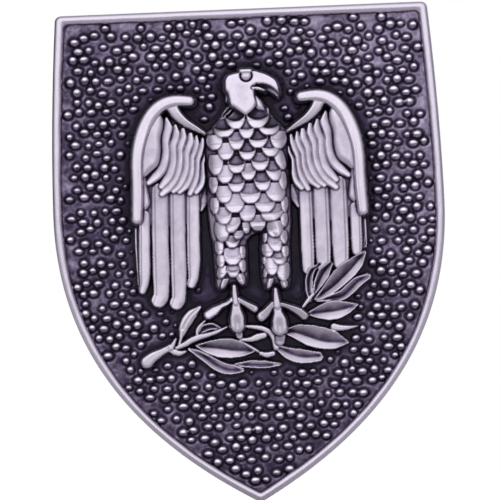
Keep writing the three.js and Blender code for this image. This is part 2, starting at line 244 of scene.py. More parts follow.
def blob(canvas, points, owner, low, high, reach, stain_and_shade=0.0):
    outline = curve(points, closed=True)
    cut, gx, gz = canvas.window(outline, 0.2)
    inside = inside_outline(outline, gx, gz)
    canvas.paint(cut, inside, rounded(inside, low, high, reach), owner, stain_and_shade)


def bar(canvas, line, widths, owner, low, high, slope=0.0, crest=0.0, stain_and_shade=0.0):
    """A round-topped band, such as a toe or a stem; crest tips its top up on the left."""
    cut, inside, across, along, half = ribbon(canvas, line, widths, widths)
    height = rounded(inside, low, high, half * 0.6) + slope * along
    height += crest * across * (high - low)
    canvas.paint(cut, inside, height, owner, stain_and_shade)


def vane(canvas, line, widths, owner, base, crown, tilt=0.0, shaft=(0.0, 0.0), rise=0.0, notch=0.0):
    """A feather's vane: a crowned band with a fine shaft, and notches in one edge.

    shaft is its place across the vane and its height; rise lifts the vane along its length."""
    cut, inside, across, along, half = ribbon(canvas, line, widths, widths)
    length = np.hypot(*np.diff(curve(line), axis=0).T).sum()
    height = base + crown * (1 - np.abs(across) ** 3) + tilt * across + rise * along
    height += shaft[1] * np.exp(-(((across - shaft[0]) * half / 0.07) ** 2))
    height -= 0.16 * (1 - smooth(inside / 0.12)) ** 2
    saw = np.sin(along * length * math.tau / 0.36) * smooth((along - 0.45) * 4)
    inside = inside + notch * saw * (across * np.sign(shaft[0] + 1e-9) > 0)
    canvas.paint(cut, inside, height, owner, 0.0)


LEAF_VALLEY = 0.45  # height of a leaf's crease
LEAF_RISE = 0.6  # from the crease up to the upper half's rim
LEAF_LIFT = 0.34  # how far the lower half climbs to its edge
# Darkening of a leaf's upper half: patina in its hollow and painted shade
LEAF_PATINA_AND_SHADE = 0.2


def leaf(canvas, crease, upper, lower):
    """A folded leaf: both halves climb from the crease, the upper one to a bright rim.
    Its upper half is darker in colour, partly patina in its hollow and partly painted shade. upper and
    lower are half widths."""
    cut, inside, across, along, half = ribbon(canvas, crease, upper, lower)
    above = smooth(0.5 + across * half / 0.16)
    rim = smooth(1.35 - inside / 0.32) * smooth(half / 0.3)
    upper_side = LEAF_VALLEY + LEAF_RISE * np.maximum(np.abs(across) ** 1.3, rim)
    lower_side = LEAF_VALLEY + 0.14 + LEAF_LIFT * np.minimum(np.abs(across) * 1.25, 1)
    height = lower_side + (upper_side - lower_side) * above
    height -= 0.2 * (1 - smooth(inside / 0.14)) ** 2
    canvas.paint(cut, inside, height, LAUREL, LEAF_PATINA_AND_SHADE * above * (1 - rim))


# ------------------------------------------------------------------ eagle

BODY = [(-1.7, 14.7), (-2.3, 13.9), (-3.3, 12.7), (-4.0, 11.9), (-4.05, 9), (-4.0, 5.5), (-3.9, 3.5),
        (-3.6, 1.5), (-2.2, 0.6), (-0.5, 1.5), (0.1, 2.0), (0.9, 2.3), (1.7, 2.0), (3.0, 0.5), (3.85, 2.0),
        (4.0, 3.5), (4.05, 6), (4.05, 9), (4.0, 11.9), (3.4, 12.8), (2.4, 14.0), (2.1, 14.7), (0, 15.4)]
LEG_LEFT = [(-3.7, 4), (-3.65, 1), (-3.55, -1.6), (-3.45, -3.0), (-3.0, -3.4), (-2.3, -2.8), (-1.4, -2.8),
            (-0.9, -3.1), (-0.5, -2.6), (-0.42, -1), (-0.45, 1), (-0.5, 2.6)]
LEG_RIGHT = [(1.3, 3.4), (1.1, 1.4), (1.0, -0.5), (1.05, -2.2), (1.3, -3.4), (1.9, -3.5), (2.4, -3.0),
             (3.1, -3.5), (3.6, -3.3), (3.8, -2.2), (3.85, 1), (3.9, 4)]

# Scales from the lowest up: tip X and Z, half width, length, lean of the top, scoop
SCALES = [
    (1.55, -3.5, 0.36, 1.2, 0.4, 0), (3.25, -3.5, 0.42, 1.1, -0.1, 0), (-3.0, -3.35, 0.36, 1.2, 0.5, 0),
    (-0.9, -3.0, 0.46, 1.3, -0.3, 0), (3.15, -2.8, 0.66, 2.0, 0.05, 0), (1.25, -2.4, 0.3, 1.1, 0.2, 0),
    (-3.15, -2.25, 0.55, 1.4, 0.45, 0), (-1.8, -2.25, 0.6, 1.5, 0, 0.2), (2.05, -2.15, 0.66, 1.9, -0.15, 0),
    (-0.75, -1.75, 0.42, 1.4, -0.15, 0), (1.25, -1.05, 0.26, 0.9, 0, 0), (-3.0, -1.2, 0.45, 1.4, 0, 0),
    (2.9, -1.15, 0.7, 1.5, -0.15, 0.2), (-1.8, -1.0, 0.85, 1.9, 0.05, 0.1), (3.45, -0.45, 0.42, 1.3, 0, 0),
    (-0.75, -0.4, 0.38, 1.4, 0, 0), (1.7, -0.35, 0.62, 1.5, -0.1, 0), (-3.1, 0.05, 0.48, 1.5, 0, 0),
    (2.65, 0.15, 0.68, 1.9, -0.45, 0.1), (-1.8, 0.7, 0.66, 1.4, 0.1, 0.15), (1.4, 1.1, 0.3, 1.1, 0.1, 0),
    (3.4, 0.9, 0.42, 1.5, -0.1, 0), (-1.2, 1.55, 0.5, 1.0, 0.15, 0.1), (-2.75, 1.35, 0.7, 2.1, 0, 0),
    (2.45, 1.6, 0.78, 1.8, 0.1, 0), (-0.3, 2.05, 0.44, 1.3, -0.1, 0), (3.45, 2.6, 0.44, 1.5, 0, 0),
    (-1.9, 2.2, 0.72, 1.7, 0.5, 0.1), (0.85, 2.25, 0.82, 1.8, -0.05, 0.1),
    (-2.5, 3.05, 0.82, 1.9, -0.05, 0.1), (-0.2, 3.25, 0.84, 1.8, 0.1, 0), (2.05, 3.2, 1.12, 1.9, 0.5, 0.15),
    (-3.35, 4.1, 0.5, 1.8, 0, 0), (3.55, 4.0, 0.42, 1.7, 0, 0), (-1.4, 4.15, 1.02, 2.1, 0, 0),
    (1.6, 4.05, 1.06, 2.1, 0, 0.1), (0.2, 5.0, 1.06, 2.2, 0, 0.15), (-2.35, 5.15, 0.82, 1.9, -0.05, 0),
    (2.85, 5.1, 1.0, 2.1, -0.3, 0), (-3.4, 6.15, 0.5, 1.8, 0, 0.1), (3.55, 6.25, 0.48, 2.0, -0.2, 0),
    (-1.15, 6.15, 0.86, 2.0, 0, 0.22), (1.5, 6.2, 0.84, 2.0, -0.1, 0.25), (-2.25, 7.1, 0.84, 2.0, 0.1, 0),
    (2.75, 7.15, 0.8, 2.2, -0.35, 0.25), (0.1, 7.3, 0.8, 1.9, 0, 0.1), (-3.1, 7.95, 0.75, 2.2, 0.05, 0),
    (3.6, 8.25, 0.58, 2.1, -0.6, 0), (-1.05, 8.05, 0.88, 1.9, 0, 0.3), (1.3, 8.2, 0.9, 2.0, 0, 0.22),
    (0.05, 9.3, 0.86, 1.9, 0.05, 0.28), (-2.05, 9.4, 0.84, 1.9, 0.05, 0),
    (2.4, 9.55, 0.92, 2.0, -0.05, 0.3), (-3.1, 10.45, 0.82, 1.7, -0.05, 0),
    (3.2, 10.3, 0.82, 2.0, 0.05, 0.1), (-0.95, 10.35, 0.8, 2.0, 0, 0.15),
    (1.15, 10.45, 0.96, 1.9, 0.1, 0.35), (0.1, 11.4, 0.82, 2.2, -0.05, 0.25),
    (-2.15, 11.65, 1.1, 2.0, 0, 0.6), (2.3, 11.7, 1.12, 2.0, 0.1, 0.6), (-0.9, 12.4, 0.98, 2.3, -0.2, 0.6),
    (1.15, 12.4, 1.12, 2.4, 0.25, 0.6),
]


def body_form(canvas):
    """The smooth swelling of trunk and legs under the scales."""
    form = np.full(canvas.h.shape, SUNK)
    shapes = [(BODY, 1.1, 2.2, 2.6), (LEG_LEFT, 0.9, 1.8, 1.2), (LEG_RIGHT, 0.9, 1.8, 1.2)]
    for points, low, high, reach in shapes:
        outline = curve(points, closed=True)
        cut, gx, gz = canvas.window(outline, 0.3)
        inside = inside_outline(outline, gx, gz)
        swelling = np.where(inside > -0.12, rounded(inside + 0.12, low, high, reach), SUNK)
        form[cut] = np.maximum(form[cut], swelling)
    return form


def body_scale(canvas, form, x, tip, half, length, lean, scoop):
    """One bud-shaped scale: it swells to a lip at the tip and narrows towards the top."""
    half = half * (1.14 if tip < 2.0 else 1.05)
    cut, gx, gz = canvas.window(np.array([[x - half - 0.2, tip], [x + half + 0.2, tip + length]]),
                                abs(lean))
    v = (gz - tip) / length
    u = (gx - x - lean * v) / half
    outline = np.interp(v, [0, 0.04, 0.12, 0.25, 0.4, 0.6, 0.8, 1],
                        [0, 0.38, 0.63, 0.86, 1.0, 1.08, 1.02, 0.85])
    inside = np.minimum((outline - np.abs(u)) * half * 0.85, np.minimum(v * length, (1 - v) * length))
    height = form[cut] - 0.05 + 0.26 * (1 - v) + 0.12 * (1 - u**2) - 0.08 * smooth((v - 0.3) / 0.15)
    edge = 0.36 + 0.22 * u**2 if scoop > 0.4 else 0.42 + 0.1 * u**2
    bowl = smooth((v - edge) / 0.1) * smooth((1.1 - np.abs(u)) / 0.45)
    height -= 0.75 * scoop * bowl
    height -= 0.26 * (1 - smooth(inside / 0.17)) ** 2
    inside = np.where(form[cut] > 0, inside, -1)
    # The stain darkens the scoop and the upper part of each scale: patina in the scoop, and painted shade
    # where the scale above overhangs it
    canvas.paint(cut, inside, height, EAGLE, scoop * bowl * 0.38 + 0.1 * smooth((v - 0.32) / 0.25))


def paint_body(canvas):
    form = body_form(canvas)
    everywhere = np.s_[:, :]
    canvas.paint(everywhere, np.where(form > 0, EDGE, -1), form - 0.32, EAGLE, 0.12)
    for scale in SCALES:
        body_scale(canvas, form, *scale)


def paint_head(canvas):
    neck = [(1.0, 15.9), (1.5, 15.6), (1.85, 15.1), (2.05, 14.4), (1.9, 14.2), (1.2, 14.3), (0.9, 14.8)]
    blob(canvas, neck, EAGLE, 1.4, 1.9, 0.6)
    bar(canvas, [(-1.8, 16.1), (-1.78, 15.3)], [0.08, 0.05], EAGLE, 0.9, 1.3)
    for shift in (0, 0.28):
        bar(canvas, [(-2.15 + shift, 14.0 - shift), (-1.5 + shift, 14.6 - shift)], [0.07, 0.07], EAGLE,
            0.5, 0.8)
    skull = [(-1.0, 18.05), (-0.3, 18.12), (0.5, 18.2), (1.2, 18.18), (1.45, 17.6), (1.3, 16.95),
             (1.05, 16.4), (1.08, 15.7), (1.18, 15.1), (1.0, 14.5), (0.5, 14.0), (0.05, 13.78),
             (-0.35, 14.0), (-0.9, 14.45), (-1.42, 14.85), (-1.55, 15.4), (-1.68, 16.0), (-1.9, 16.4),
             (-1.93, 17.2), (-1.65, 17.8)]
    blob(canvas, skull, EAGLE, 2.2, 2.42, 0.4, stain_and_shade=0.07)
    gape = [(0.95, 16.6), (1.7, 16.6), (2.4, 16.35), (2.95, 15.95), (3.3, 15.6)]
    bar(canvas, gape, [0.12, 0.16, 0.2, 0.16, 0.08], EAGLE, 0.7, 1.5, crest=0.3, stain_and_shade=0.25)
    bar(canvas, [(0.85, 16.5), (1.4, 16.45), (2.05, 16.22)], [0.14, 0.15, 0.08], EAGLE, 1.7, 2.15)
    beak = [(0.8, 16.9), (1.0, 18.15), (1.7, 18.05), (2.3, 17.82), (2.85, 17.5), (3.25, 17.1), (3.45, 16.5),
            (3.5, 15.75), (3.22, 16.0), (2.9, 16.3), (2.45, 16.6), (1.9, 16.8), (1.3, 16.85)]
    blob(canvas, beak, EAGLE, 2.32, 2.42, 0.2, stain_and_shade=0.05)
    paint_eye(canvas, 0.25, 17.75)


def paint_eye(canvas, x, z):
    """A round eye under a straight brow, ringed below by a groove."""
    cut, gx, gz = canvas.window(np.array([[x, z]]), 0.95)
    radius = np.hypot(gx - x, gz - z)
    under = smooth((z + 0.42 - gz) / 0.1)
    ring = np.exp(-(((radius - 0.57) / 0.075) ** 2)) * under
    ball = np.sqrt(np.clip(1 - (radius / 0.52) ** 2, 0, 1)) * under
    lid = np.exp(-(((gz - z - 0.1) / 0.05) ** 2)) * (radius < 0.5)
    canvas.h[cut] += 0.16 * ball - 0.4 * ring - 0.08 * lid
    canvas.stain_and_shade[cut] += 0.3 * ring + 0.1 * lid
    bar(canvas, [(x - 0.5, z + 0.43), (x + 0.45, z + 0.43)], [0.16, 0.16], EAGLE, 2.2, 2.62)


# The wing on the +X side; the other mirrors it about MIRROR_X.
MIRROR_X = 0.09
# Coverts from the body outwards: line and half widths
COVERTS = [
    ([(4.15, 10.6), (4.3, 10.0), (4.58, 9.3), (4.62, 8.6), (4.66, 7.8), (4.85, 7.1), (5.3, 6.5)],
     [0.06, 0.12, 0.15, 0.2, 0.26, 0.28, 0.24]),
    ([(4.5, 11.75), (4.58, 11.1), (4.82, 10.4), (5.06, 9.7), (5.12, 9.1), (5.2, 8.3), (5.42, 7.5),
      (5.95, 6.4)], [0.1, 0.25, 0.28, 0.23, 0.23, 0.28, 0.31, 0.26]),
    ([(5.1, 12.0), (5.15, 11.2), (5.37, 10.5), (5.62, 9.9), (5.67, 9.3), (5.72, 8.6), (5.92, 7.9),
      (6.3, 7.2), (6.95, 6.6)], [0.1, 0.27, 0.29, 0.26, 0.25, 0.28, 0.32, 0.33, 0.24]),
    ([(5.68, 12.15), (5.75, 11.4), (6.0, 10.8), (6.17, 10.2), (6.2, 9.5), (6.3, 8.7), (6.6, 7.9),
      (7.1, 7.1), (7.55, 6.7)], [0.22, 0.35, 0.35, 0.31, 0.3, 0.33, 0.36, 0.35, 0.25]),
    ([(6.42, 12.65), (6.4, 12.0), (6.6, 11.4), (6.8, 10.8), (6.82, 10.2), (6.86, 9.5), (7.03, 8.7),
      (7.38, 7.9), (7.95, 7.1), (8.7, 6.45)], [0.2, 0.32, 0.34, 0.31, 0.3, 0.34, 0.38, 0.4, 0.36, 0.28]),
    ([(7.15, 13.1), (7.1, 12.4), (7.22, 11.8), (7.47, 11.2), (7.5, 10.5), (7.52, 9.7), (7.68, 8.9),
      (8.0, 8.1), (8.75, 7.2)], [0.14, 0.36, 0.38, 0.36, 0.37, 0.39, 0.42, 0.42, 0.28]),
    ([(8.02, 13.9), (7.88, 13.0), (8.1, 12.2), (8.22, 11.4), (8.2, 10.6), (8.32, 9.8), (8.6, 9.0),
      (9.1, 8.35), (10.0, 7.6)], [0.1, 0.42, 0.42, 0.34, 0.37, 0.4, 0.44, 0.42, 0.25]),
]
# Primaries from the outer edge in: X of the left and right edge, top Z
PRIMARIES = [(10.03, 11.15, 4.3), (8.14, 9.82, 6.7), (6.46, 8.0, 6.4), (5.02, 6.34, 6.0)]


def wing_place(side):
    return lambda points: [(x if side > 0 else 2 * MIRROR_X - x, z) for x, z in points]


def paint_primaries(canvas, side, owner, feet):
    place = wing_place(side)
    web = [(4.6, 11.5), (8, 14), (10.6, 12), (11.3, 5), (10.6, 3.4), (7, 3), (5.0, 4.6), (4.2, 8)]
    blob(canvas, place(web), owner, 0.4, 0.9, 0.4)
    last = feet[0] + 0.6
    bar(canvas, place([(11.25, 4.2), (11.35, 2.0), (11.2, last)]), [0.35, 0.32, 0.2], owner, 0.1, 0.4,
        stain_and_shade=0.15)
    bar(canvas, place([(11.55, 3.0), (11.6, 1.0), (11.5, last)]), [0.06, 0.07, 0.04], owner, 0.15, 0.45)
    for (inner, outer, top), foot in zip(PRIMARIES, feet):
        middle, half = (inner + outer) / 2, (outer - inner) / 2
        lean = 0.25 if side < 0 else 0.0
        line = [(middle, top), (middle + lean / 2, top * 0.6 + foot * 0.4), (middle + lean, foot + 1.4),
                (middle + 2 * lean, foot + half * 0.6)]
        tip = 0.7 if -4 < foot < -2 else 0.9
        widths = [half * 0.95, half, half, half * 1.02, half * tip]
        vane(canvas, place(line), widths, owner, 0.95, 0.2,
             tilt=-0.03 * side, shaft=(0.6 * side, -0.05), notch=0.03)


def paint_wing(canvas, side, owner):
    """Everything of a wing but its primaries: coverts, shoulder panel, strap and arm."""
    place = wing_place(side)
    vane(canvas, place([(4.4, 6.7), (4.55, 5.6), (4.9, 4.6)]), [0.2, 0.42, 0.1], owner, 0.7, 0.2)
    for line, widths in COVERTS:
        wider = [w + 0.04 for w in widths]
        vane(canvas, place(line), wider, owner, 1.12, 0.22, tilt=-0.1 * side, rise=0.1)
    inner = [(10.3, 8.3), (10.15, 7.3), (9.98, 6.2), (9.95, 5.4), (10.25, 4.95), (10.6, 4.8), (10.9, 5.6),
             (10.9, 8.0)]
    blob(canvas, place(inner), owner, 0.95, 1.35, 0.4)
    panel = [(8.28, 13.6), (8.4, 14.2), (8.8, 14.45), (9.6, 13.9), (10.4, 12.6), (10.9, 10.6), (10.85, 8.4),
             (10.35, 8.1), (9.75, 8.55), (9.05, 9.15), (8.75, 9.85), (8.62, 10.8), (8.58, 12.0),
             (8.35, 12.9)]
    blob(canvas, place(panel), owner, 1.15, 1.6, 0.7)
    strap = [(7.4, 14.95), (6.95, 14.2), (6.15, 13.4), (5.2, 12.8), (4.1, 12.12)]
    bar(canvas, place(strap), [0.6, 0.5, 0.38, 0.26, 0.1], owner, 1.1, 1.7, crest=-0.15 * side)
    arm = [(5.62, 15.5), (6.4, 15.58), (7.2, 15.58), (8.0, 15.4), (8.8, 14.95), (9.5, 14.25), (10.1, 13.3),
           (10.6, 12.1), (10.95, 10.8), (11.12, 9.4), (11.15, 7.5), (11.2, 6.0), (11.33, 4.0)]
    widths = [0.5, 0.56, 0.62, 0.66, 0.66, 0.66, 0.64, 0.6, 0.58, 0.58, 0.58, 0.57, 0.52]
    cut, inside, across, along, half = ribbon(canvas, place(arm), widths, widths)
    height = rounded(inside, 1.25, 1.8, half * 0.7)
    height += 0.1 * np.exp(-(((across * side + 0.65) / 0.3) ** 2)) * smooth((along - 0.3) * 4)
    canvas.paint(cut, inside, height, owner, 0.0)


def paint_foot(canvas, ankle, side_toes, middle, claw):
    bar(canvas, *claw, EAGLE, 0.9, 1.3, slope=-0.4, stain_and_shade=0.05)
    for line, widths, flank in side_toes:
        bar(canvas, line, [w * 1.9 for w in widths], EAGLE, 0.2, 0.8, slope=-0.2, stain_and_shade=0.15)
        bar(canvas, line, [w * 1.5 for w in widths], EAGLE, 1.3, 1.75, slope=-0.3, crest=flank)
    cut, inside, across, along, half = ribbon(canvas, middle[0], middle[1], middle[1])
    height = rounded(inside, 1.5, 1.95, half * 0.45)
    groove = np.exp(-((across / 0.35) ** 2)) * smooth((along - 0.5) * 2.2)
    canvas.paint(cut, inside, height - 0.14 * groove, EAGLE, 0.0)
    bar(canvas, *ankle, EAGLE, 1.0, 1.9)


def paint_feet(canvas):
    paint_foot(
        canvas,
        ([(-1.78, -3.05), (-1.76, -3.8), (-1.68, -4.7)], [0.2, 0.27, 0.32]),
        [([(-1.95, -4.2), (-2.5, -4.65), (-3.1, -4.9), (-3.7, -5.3), (-4.45, -5.75)],
          [0.12, 0.13, 0.15, 0.3, 0.3], 0.3),
         ([(-1.45, -4.35), (-0.7, -4.82), (0.15, -5.35)], [0.15, 0.17, 0.24], 0)],
        ([(-1.67, -4.6), (-1.66, -5.3), (-1.62, -6.1), (-1.6, -6.9)], [0.3, 0.48, 0.72, 0.72]),
        ([(-1.55, -7.2), (-1.5, -7.7), (-1.45, -8.0)], [0.36, 0.4, 0.34]),
    )
    paint_foot(
        canvas,
        ([(2.3, -3.5), (2.33, -4.2), (2.4, -5.1)], [0.18, 0.3, 0.42]),
        [([(2.15, -4.8), (1.75, -5.2), (1.3, -5.75), (0.85, -6.15)], [0.15, 0.2, 0.28, 0.32], 0),
         ([(2.75, -5.0), (3.6, -5.32), (4.5, -5.8), (5.05, -6.25)], [0.12, 0.15, 0.24, 0.26], 0.3)],
        ([(2.42, -5.0), (2.45, -5.7), (2.55, -6.5), (2.6, -7.35)], [0.34, 0.4, 0.72, 0.74]),
        ([(2.6, -7.6), (2.6, -8.2), (2.55, -8.7)], [0.5, 0.55, 0.5]),
    )


# ------------------------------------------------------------------ laurel branch

# Folded leaves, lowest first: the crease, then half widths above it and below it
LEAVES = [
    ([(-2.0, -10.85), (-0.5, -11.0), (1.0, -11.1), (2.5, -11.0)], [0.1, 0.5, 0.5, 0.1],
     [0.06, 0.14, 0.15, 0.05]),
    ([(-6.5, -9.1), (-5.7, -9.5), (-4.8, -10.15), (-4.0, -10.8), (-3.2, -11.25), (-2.4, -11.45),
      (-1.3, -11.4)], [0.05, 0.25, 0.4, 0.55, 0.6, 0.6, 0.15], [0.1, 0.3, 0.36, 0.38, 0.36, 0.26, 0.15]),
    ([(2.5, -9.3), (3.3, -9.85), (4.2, -10.25), (5.2, -10.4), (6.3, -10.35)], [0.15, 0.5, 0.75, 0.65, 0.4],
     [0.35, 0.55, 0.58, 0.5, 0.45]),
    ([(-5.75, -8.75), (-4.7, -9.0), (-3.5, -9.2), (-2.3, -9.4), (-1.2, -9.5), (0.0, -9.5)],
     [0.05, 0.6, 0.98, 1.12, 0.85, 0.2], [0.1, 0.55, 0.82, 0.72, 0.5, 0.08]),
    ([(6.4, -4.8), (8.0, -4.65), (9.0, -4.45), (9.8, -3.85), (10.5, -3.15), (11.5, -2.55)],
     [0.05, 0.35, 0.55, 0.62, 0.5, 0.2], [0.05, 0.12, 0.3, 0.36, 0.42, 0.3]),
    ([(5.4, -6.02), (6.2, -6.05), (7.2, -6.0), (8.3, -5.9), (9.3, -5.68), (10.4, -5.35)],
     [0.05, 0.6, 0.98, 0.98, 0.6, 0.05], [0.05, 0.45, 0.76, 0.76, 0.5, 0.05]),
    ([(3.0, -7.7), (4.3, -7.95), (5.5, -8.4), (6.5, -8.78), (7.6, -9.0), (9.3, -9.05)],
     [0.1, 0.82, 1.2, 1.35, 1.15, 0.08], [0.15, 0.58, 0.82, 0.72, 0.6, 0.08]),
    ([(6.2, -4.6), (7.5, -3.85), (8.4, -3.2), (9.3, -2.4), (10.1, -1.6), (10.7, -0.9), (11.3, -0.2)],
     [0.05, 0.45, 0.88, 1.08, 0.92, 0.62, 0.12], [0.1, 0.38, 0.52, 0.58, 0.66, 0.6, 0.12]),
    ([(5.7, -4.8), (5.66, -3.6), (5.72, -2.6), (6.05, -1.8), (6.75, -1.2)], [0.1, 0.32, 0.36, 0.32, 0.05],
     [0.1, 0.26, 0.3, 0.2, 0.05]),
    ([(6.05, -4.15), (6.6, -3.1), (7.1, -2.2), (7.8, -1.2)], [0.05, 0.42, 0.55, 0.2],
     [0.08, 0.4, 0.56, 0.25]),
    ([(-5.6, -7.7), (-5.0, -7.2), (-4.2, -7.0), (-3.2, -7.2)], [0.05, 0.4, 0.35, 0.05],
     [0.05, 0.25, 0.2, 0.05]),
]
# Plain leaves, twigs and stems: line, half widths, height
STEMS = [
    ([(-8.45, -9.1), (-7.9, -9.4), (-7.4, -9.48), (-6.9, -9.35)], [0.25, 0.3, 0.26, 0.12], 0.85),
    ([(-10.75, -10.25), (-10.2, -9.8), (-9.3, -9.32), (-8.35, -8.85)], [0.62, 0.5, 0.34, 0.3], 1.0),
    ([(-8.3, -8.95), (-8.05, -8.5), (-7.8, -8.05)], [0.26, 0.2, 0.1], 0.95),
    ([(-7.6, -8.9), (-7.35, -8.2), (-7.15, -7.3)], [0.12, 0.13, 0.2], 1.0),
    ([(-5.7, -7.9), (-5.6, -7.2), (-5.2, -6.7), (-4.65, -6.2)], [0.14, 0.15, 0.13, 0.05], 1.0),
    ([(-7.75, -8.95), (-6.9, -8.6), (-6.2, -8.22), (-5.4, -7.95), (-4.5, -7.75), (-3.6, -7.48),
      (-2.65, -7.05)], [0.16, 0.26, 0.3, 0.26, 0.2, 0.16, 0.08], 1.1),
    ([(-1.0, -7.05), (0.3, -7.22), (1.0, -7.4), (1.6, -7.8), (1.95, -8.4), (2.15, -9.3)],
     [0.1, 0.2, 0.24, 0.26, 0.28, 0.3], 1.0),
    ([(5.0, -5.35), (5.5, -4.75), (6.05, -4.15)], [0.14, 0.2, 0.14], 0.95),
    ([(-1.4, -8.4), (-0.4, -8.4), (0.4, -8.18), (1.0, -8.05)], [0.12, 0.22, 0.36, 0.3], 0.95),
    ([(-0.95, -8.78), (-0.3, -9.2), (0.4, -9.65)], [0.08, 0.13, 0.12], 1.05),
    ([(0.6, -9.85), (1.2, -10.0), (1.8, -9.9)], [0.2, 0.28, 0.26], 0.95),
    ([(8.0, -7.5), (8.6, -7.62), (9.4, -7.62), (10.35, -7.5)], [0.38, 0.3, 0.18, 0.05], 0.85),
]


def paint_laurel(canvas):
    for crease, upper, lower in LEAVES:
        leaf(canvas, crease, [w + 0.03 for w in upper], [w + 0.08 for w in lower])
    whole = [(-7.3, -8.1), (-6.95, -6.9), (-6.4, -6.0), (-5.9, -5.5), (-5.25, -4.98)]
    vane(canvas, whole, [0.1, 0.45, 0.58, 0.5, 0.12], LAUREL, 0.8, 0.22, shaft=(0.05, -0.1))
    for line, widths, top in STEMS:
        bar(canvas, line, widths, LAUREL, top - 0.35, top + 0.05)


# ------------------------------------------------------------------ shield outline and field


def bezier(points, count):
    """Points along a Bezier curve of any degree, without its last point."""
    t = np.linspace(0, 1, count, endpoint=False)[:, None]
    layer = [np.array(p) + 0 * t for p in points]
    while len(layer) > 1:
        layer = [a * (1 - t) + b * t for a, b in zip(layer, layer[1:])]
    return layer[0]


def shield_outline(inset, finer=1):
    """The plate's outline moved in by inset, clockwise from the top right corner."""
    radius = max(CORNER_R - inset, 0.45)
    half, top, widest = HALF_TOP - inset, TOP_Z - inset, HALF_WIDEST - inset
    tip = TIP_Z + 1.145 * inset
    tip_round = 0.35
    end = (tip_round, tip + 0.55 * tip_round)
    right = np.vstack([
        bezier([(0, top), (half - radius, top)], 60 * finer),
        bezier([(half - radius, top), (half, top), (half, top - radius)], 10 * finer),
        bezier([(half, top - radius), (widest - 0.07, 13.5), (widest, WIDEST_Z)], 60 * finer),
        bezier([(widest, WIDEST_Z), (widest, -7.62 + 0.29 * inset),
                (13.51 - 0.71 * inset, -17.21 + 0.75 * inset), end], 110 * finer),
        bezier([end, (0, tip), (0, tip + 0.04)], 4 * finer),
        [(0, tip + 0.04)],
    ])
    left = right[1:-1][::-1] * (-1, 1)
    return np.vstack([right, left])


def pellet_places(canvas, covered):
    """Middles and radii of the field's pellets: a loose lattice, pushed apart, which
    leaves the rim, the devices and the ground round the legs free."""
    pitch = 1.27
    places = []
    for row, z in enumerate(np.arange(TIP_Z, TOP_Z, pitch * 0.84)):
        for x in np.arange(-HALF_WIDEST, HALF_WIDEST, pitch) + 0.5 * pitch * (row % 2):
            places.append((x, z))
    places = np.array(places) + rng.uniform(-0.34, 0.34, (len(places), 2))
    outline = shield_outline(RIM_WIDTH)[::4]
    places = places[inside_outline(outline, places[:, 0], places[:, 1]) > 0.3]
    for _ in range(6):
        gap = places[:, None] - places[None]
        distance = np.hypot(gap[..., 0], gap[..., 1]) + 10 * np.eye(len(places))
        push = np.clip(0.98 - distance, 0, None) / distance * 0.3
        places = places + (gap * push[..., None]).sum(1)
    depth = canvas.sample(covered, places[:, 0], places[:, 1])
    smooth_ground = (np.abs(places[:, 0]) < 5.3) & (places[:, 1] > -7) & (places[:, 1] < 4)
    kept = (depth < 0.2) & ~smooth_ground
    places, depth = places[kept], depth[kept]
    return places, rng.uniform(0.36, 0.5, len(places)) * (1 - 2 * depth)


def paint_field(canvas, covered, places, radii):
    """The field: soft hammered ground, a smooth moat round the devices, and pellets, each with painted
    shade on its lower half and a painted highlight on its top.
    """
    gx, gz = np.meshgrid(canvas.x, canvas.z)
    moat = smooth(covered * 4)
    ground = 0.055 * noise(gx, gz, 1.5, 3, 3) + 0.02 * noise(gx, gz, 0.45, 9)
    canvas.h[:] = ground * (1 - 0.35 * moat) - 0.06 * moat
    canvas.stain_and_shade[:] = -0.07 * smooth((gx + gz - 4) / 20)  # lighter towards the top right
    for (x, z), radius in zip(places, radii):
        cut, px, pz = canvas.window(np.array([[x, z]]), radius * 2.2)
        squash = 0.93 + 0.08 * math.sin(37 * x + 11 * z)
        distance = np.hypot((px - x) * squash, (pz - z) / squash) / radius
        dome = 0.85 * radius * np.sqrt(np.clip(1 - distance**2, 0, 1)) ** 0.85
        ring = 0.09 * np.exp(-(((distance - 1.18) / 0.2) ** 2))
        canvas.h[cut] += dome - ring
        # Painted shade on the lower half of each pellet and a painted highlight on its upper cap, laid into
        # the stain
        up = (pz - z) / radius
        painted_highlight_cap = smooth(1.3 - np.abs(up - 0.22) / 0.3) * smooth(1.2 - np.abs(px - x) / radius)
        canvas.stain_and_shade[cut] += smooth(3 * (1.1 - distance)) * (0.34 * smooth(0.7 - 1.2 * up) - 0.17 * painted_highlight_cap)


# ------------------------------------------------------------------ meshes


def in_scene(name, data):
    obj = bpy.data.objects.new(name, data)
    bpy.context.scene.collection.objects.link(obj)
    return obj


def link(name, mesh, body=BADGE):
    obj = in_scene(name, mesh)
    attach(obj, body)
    return obj


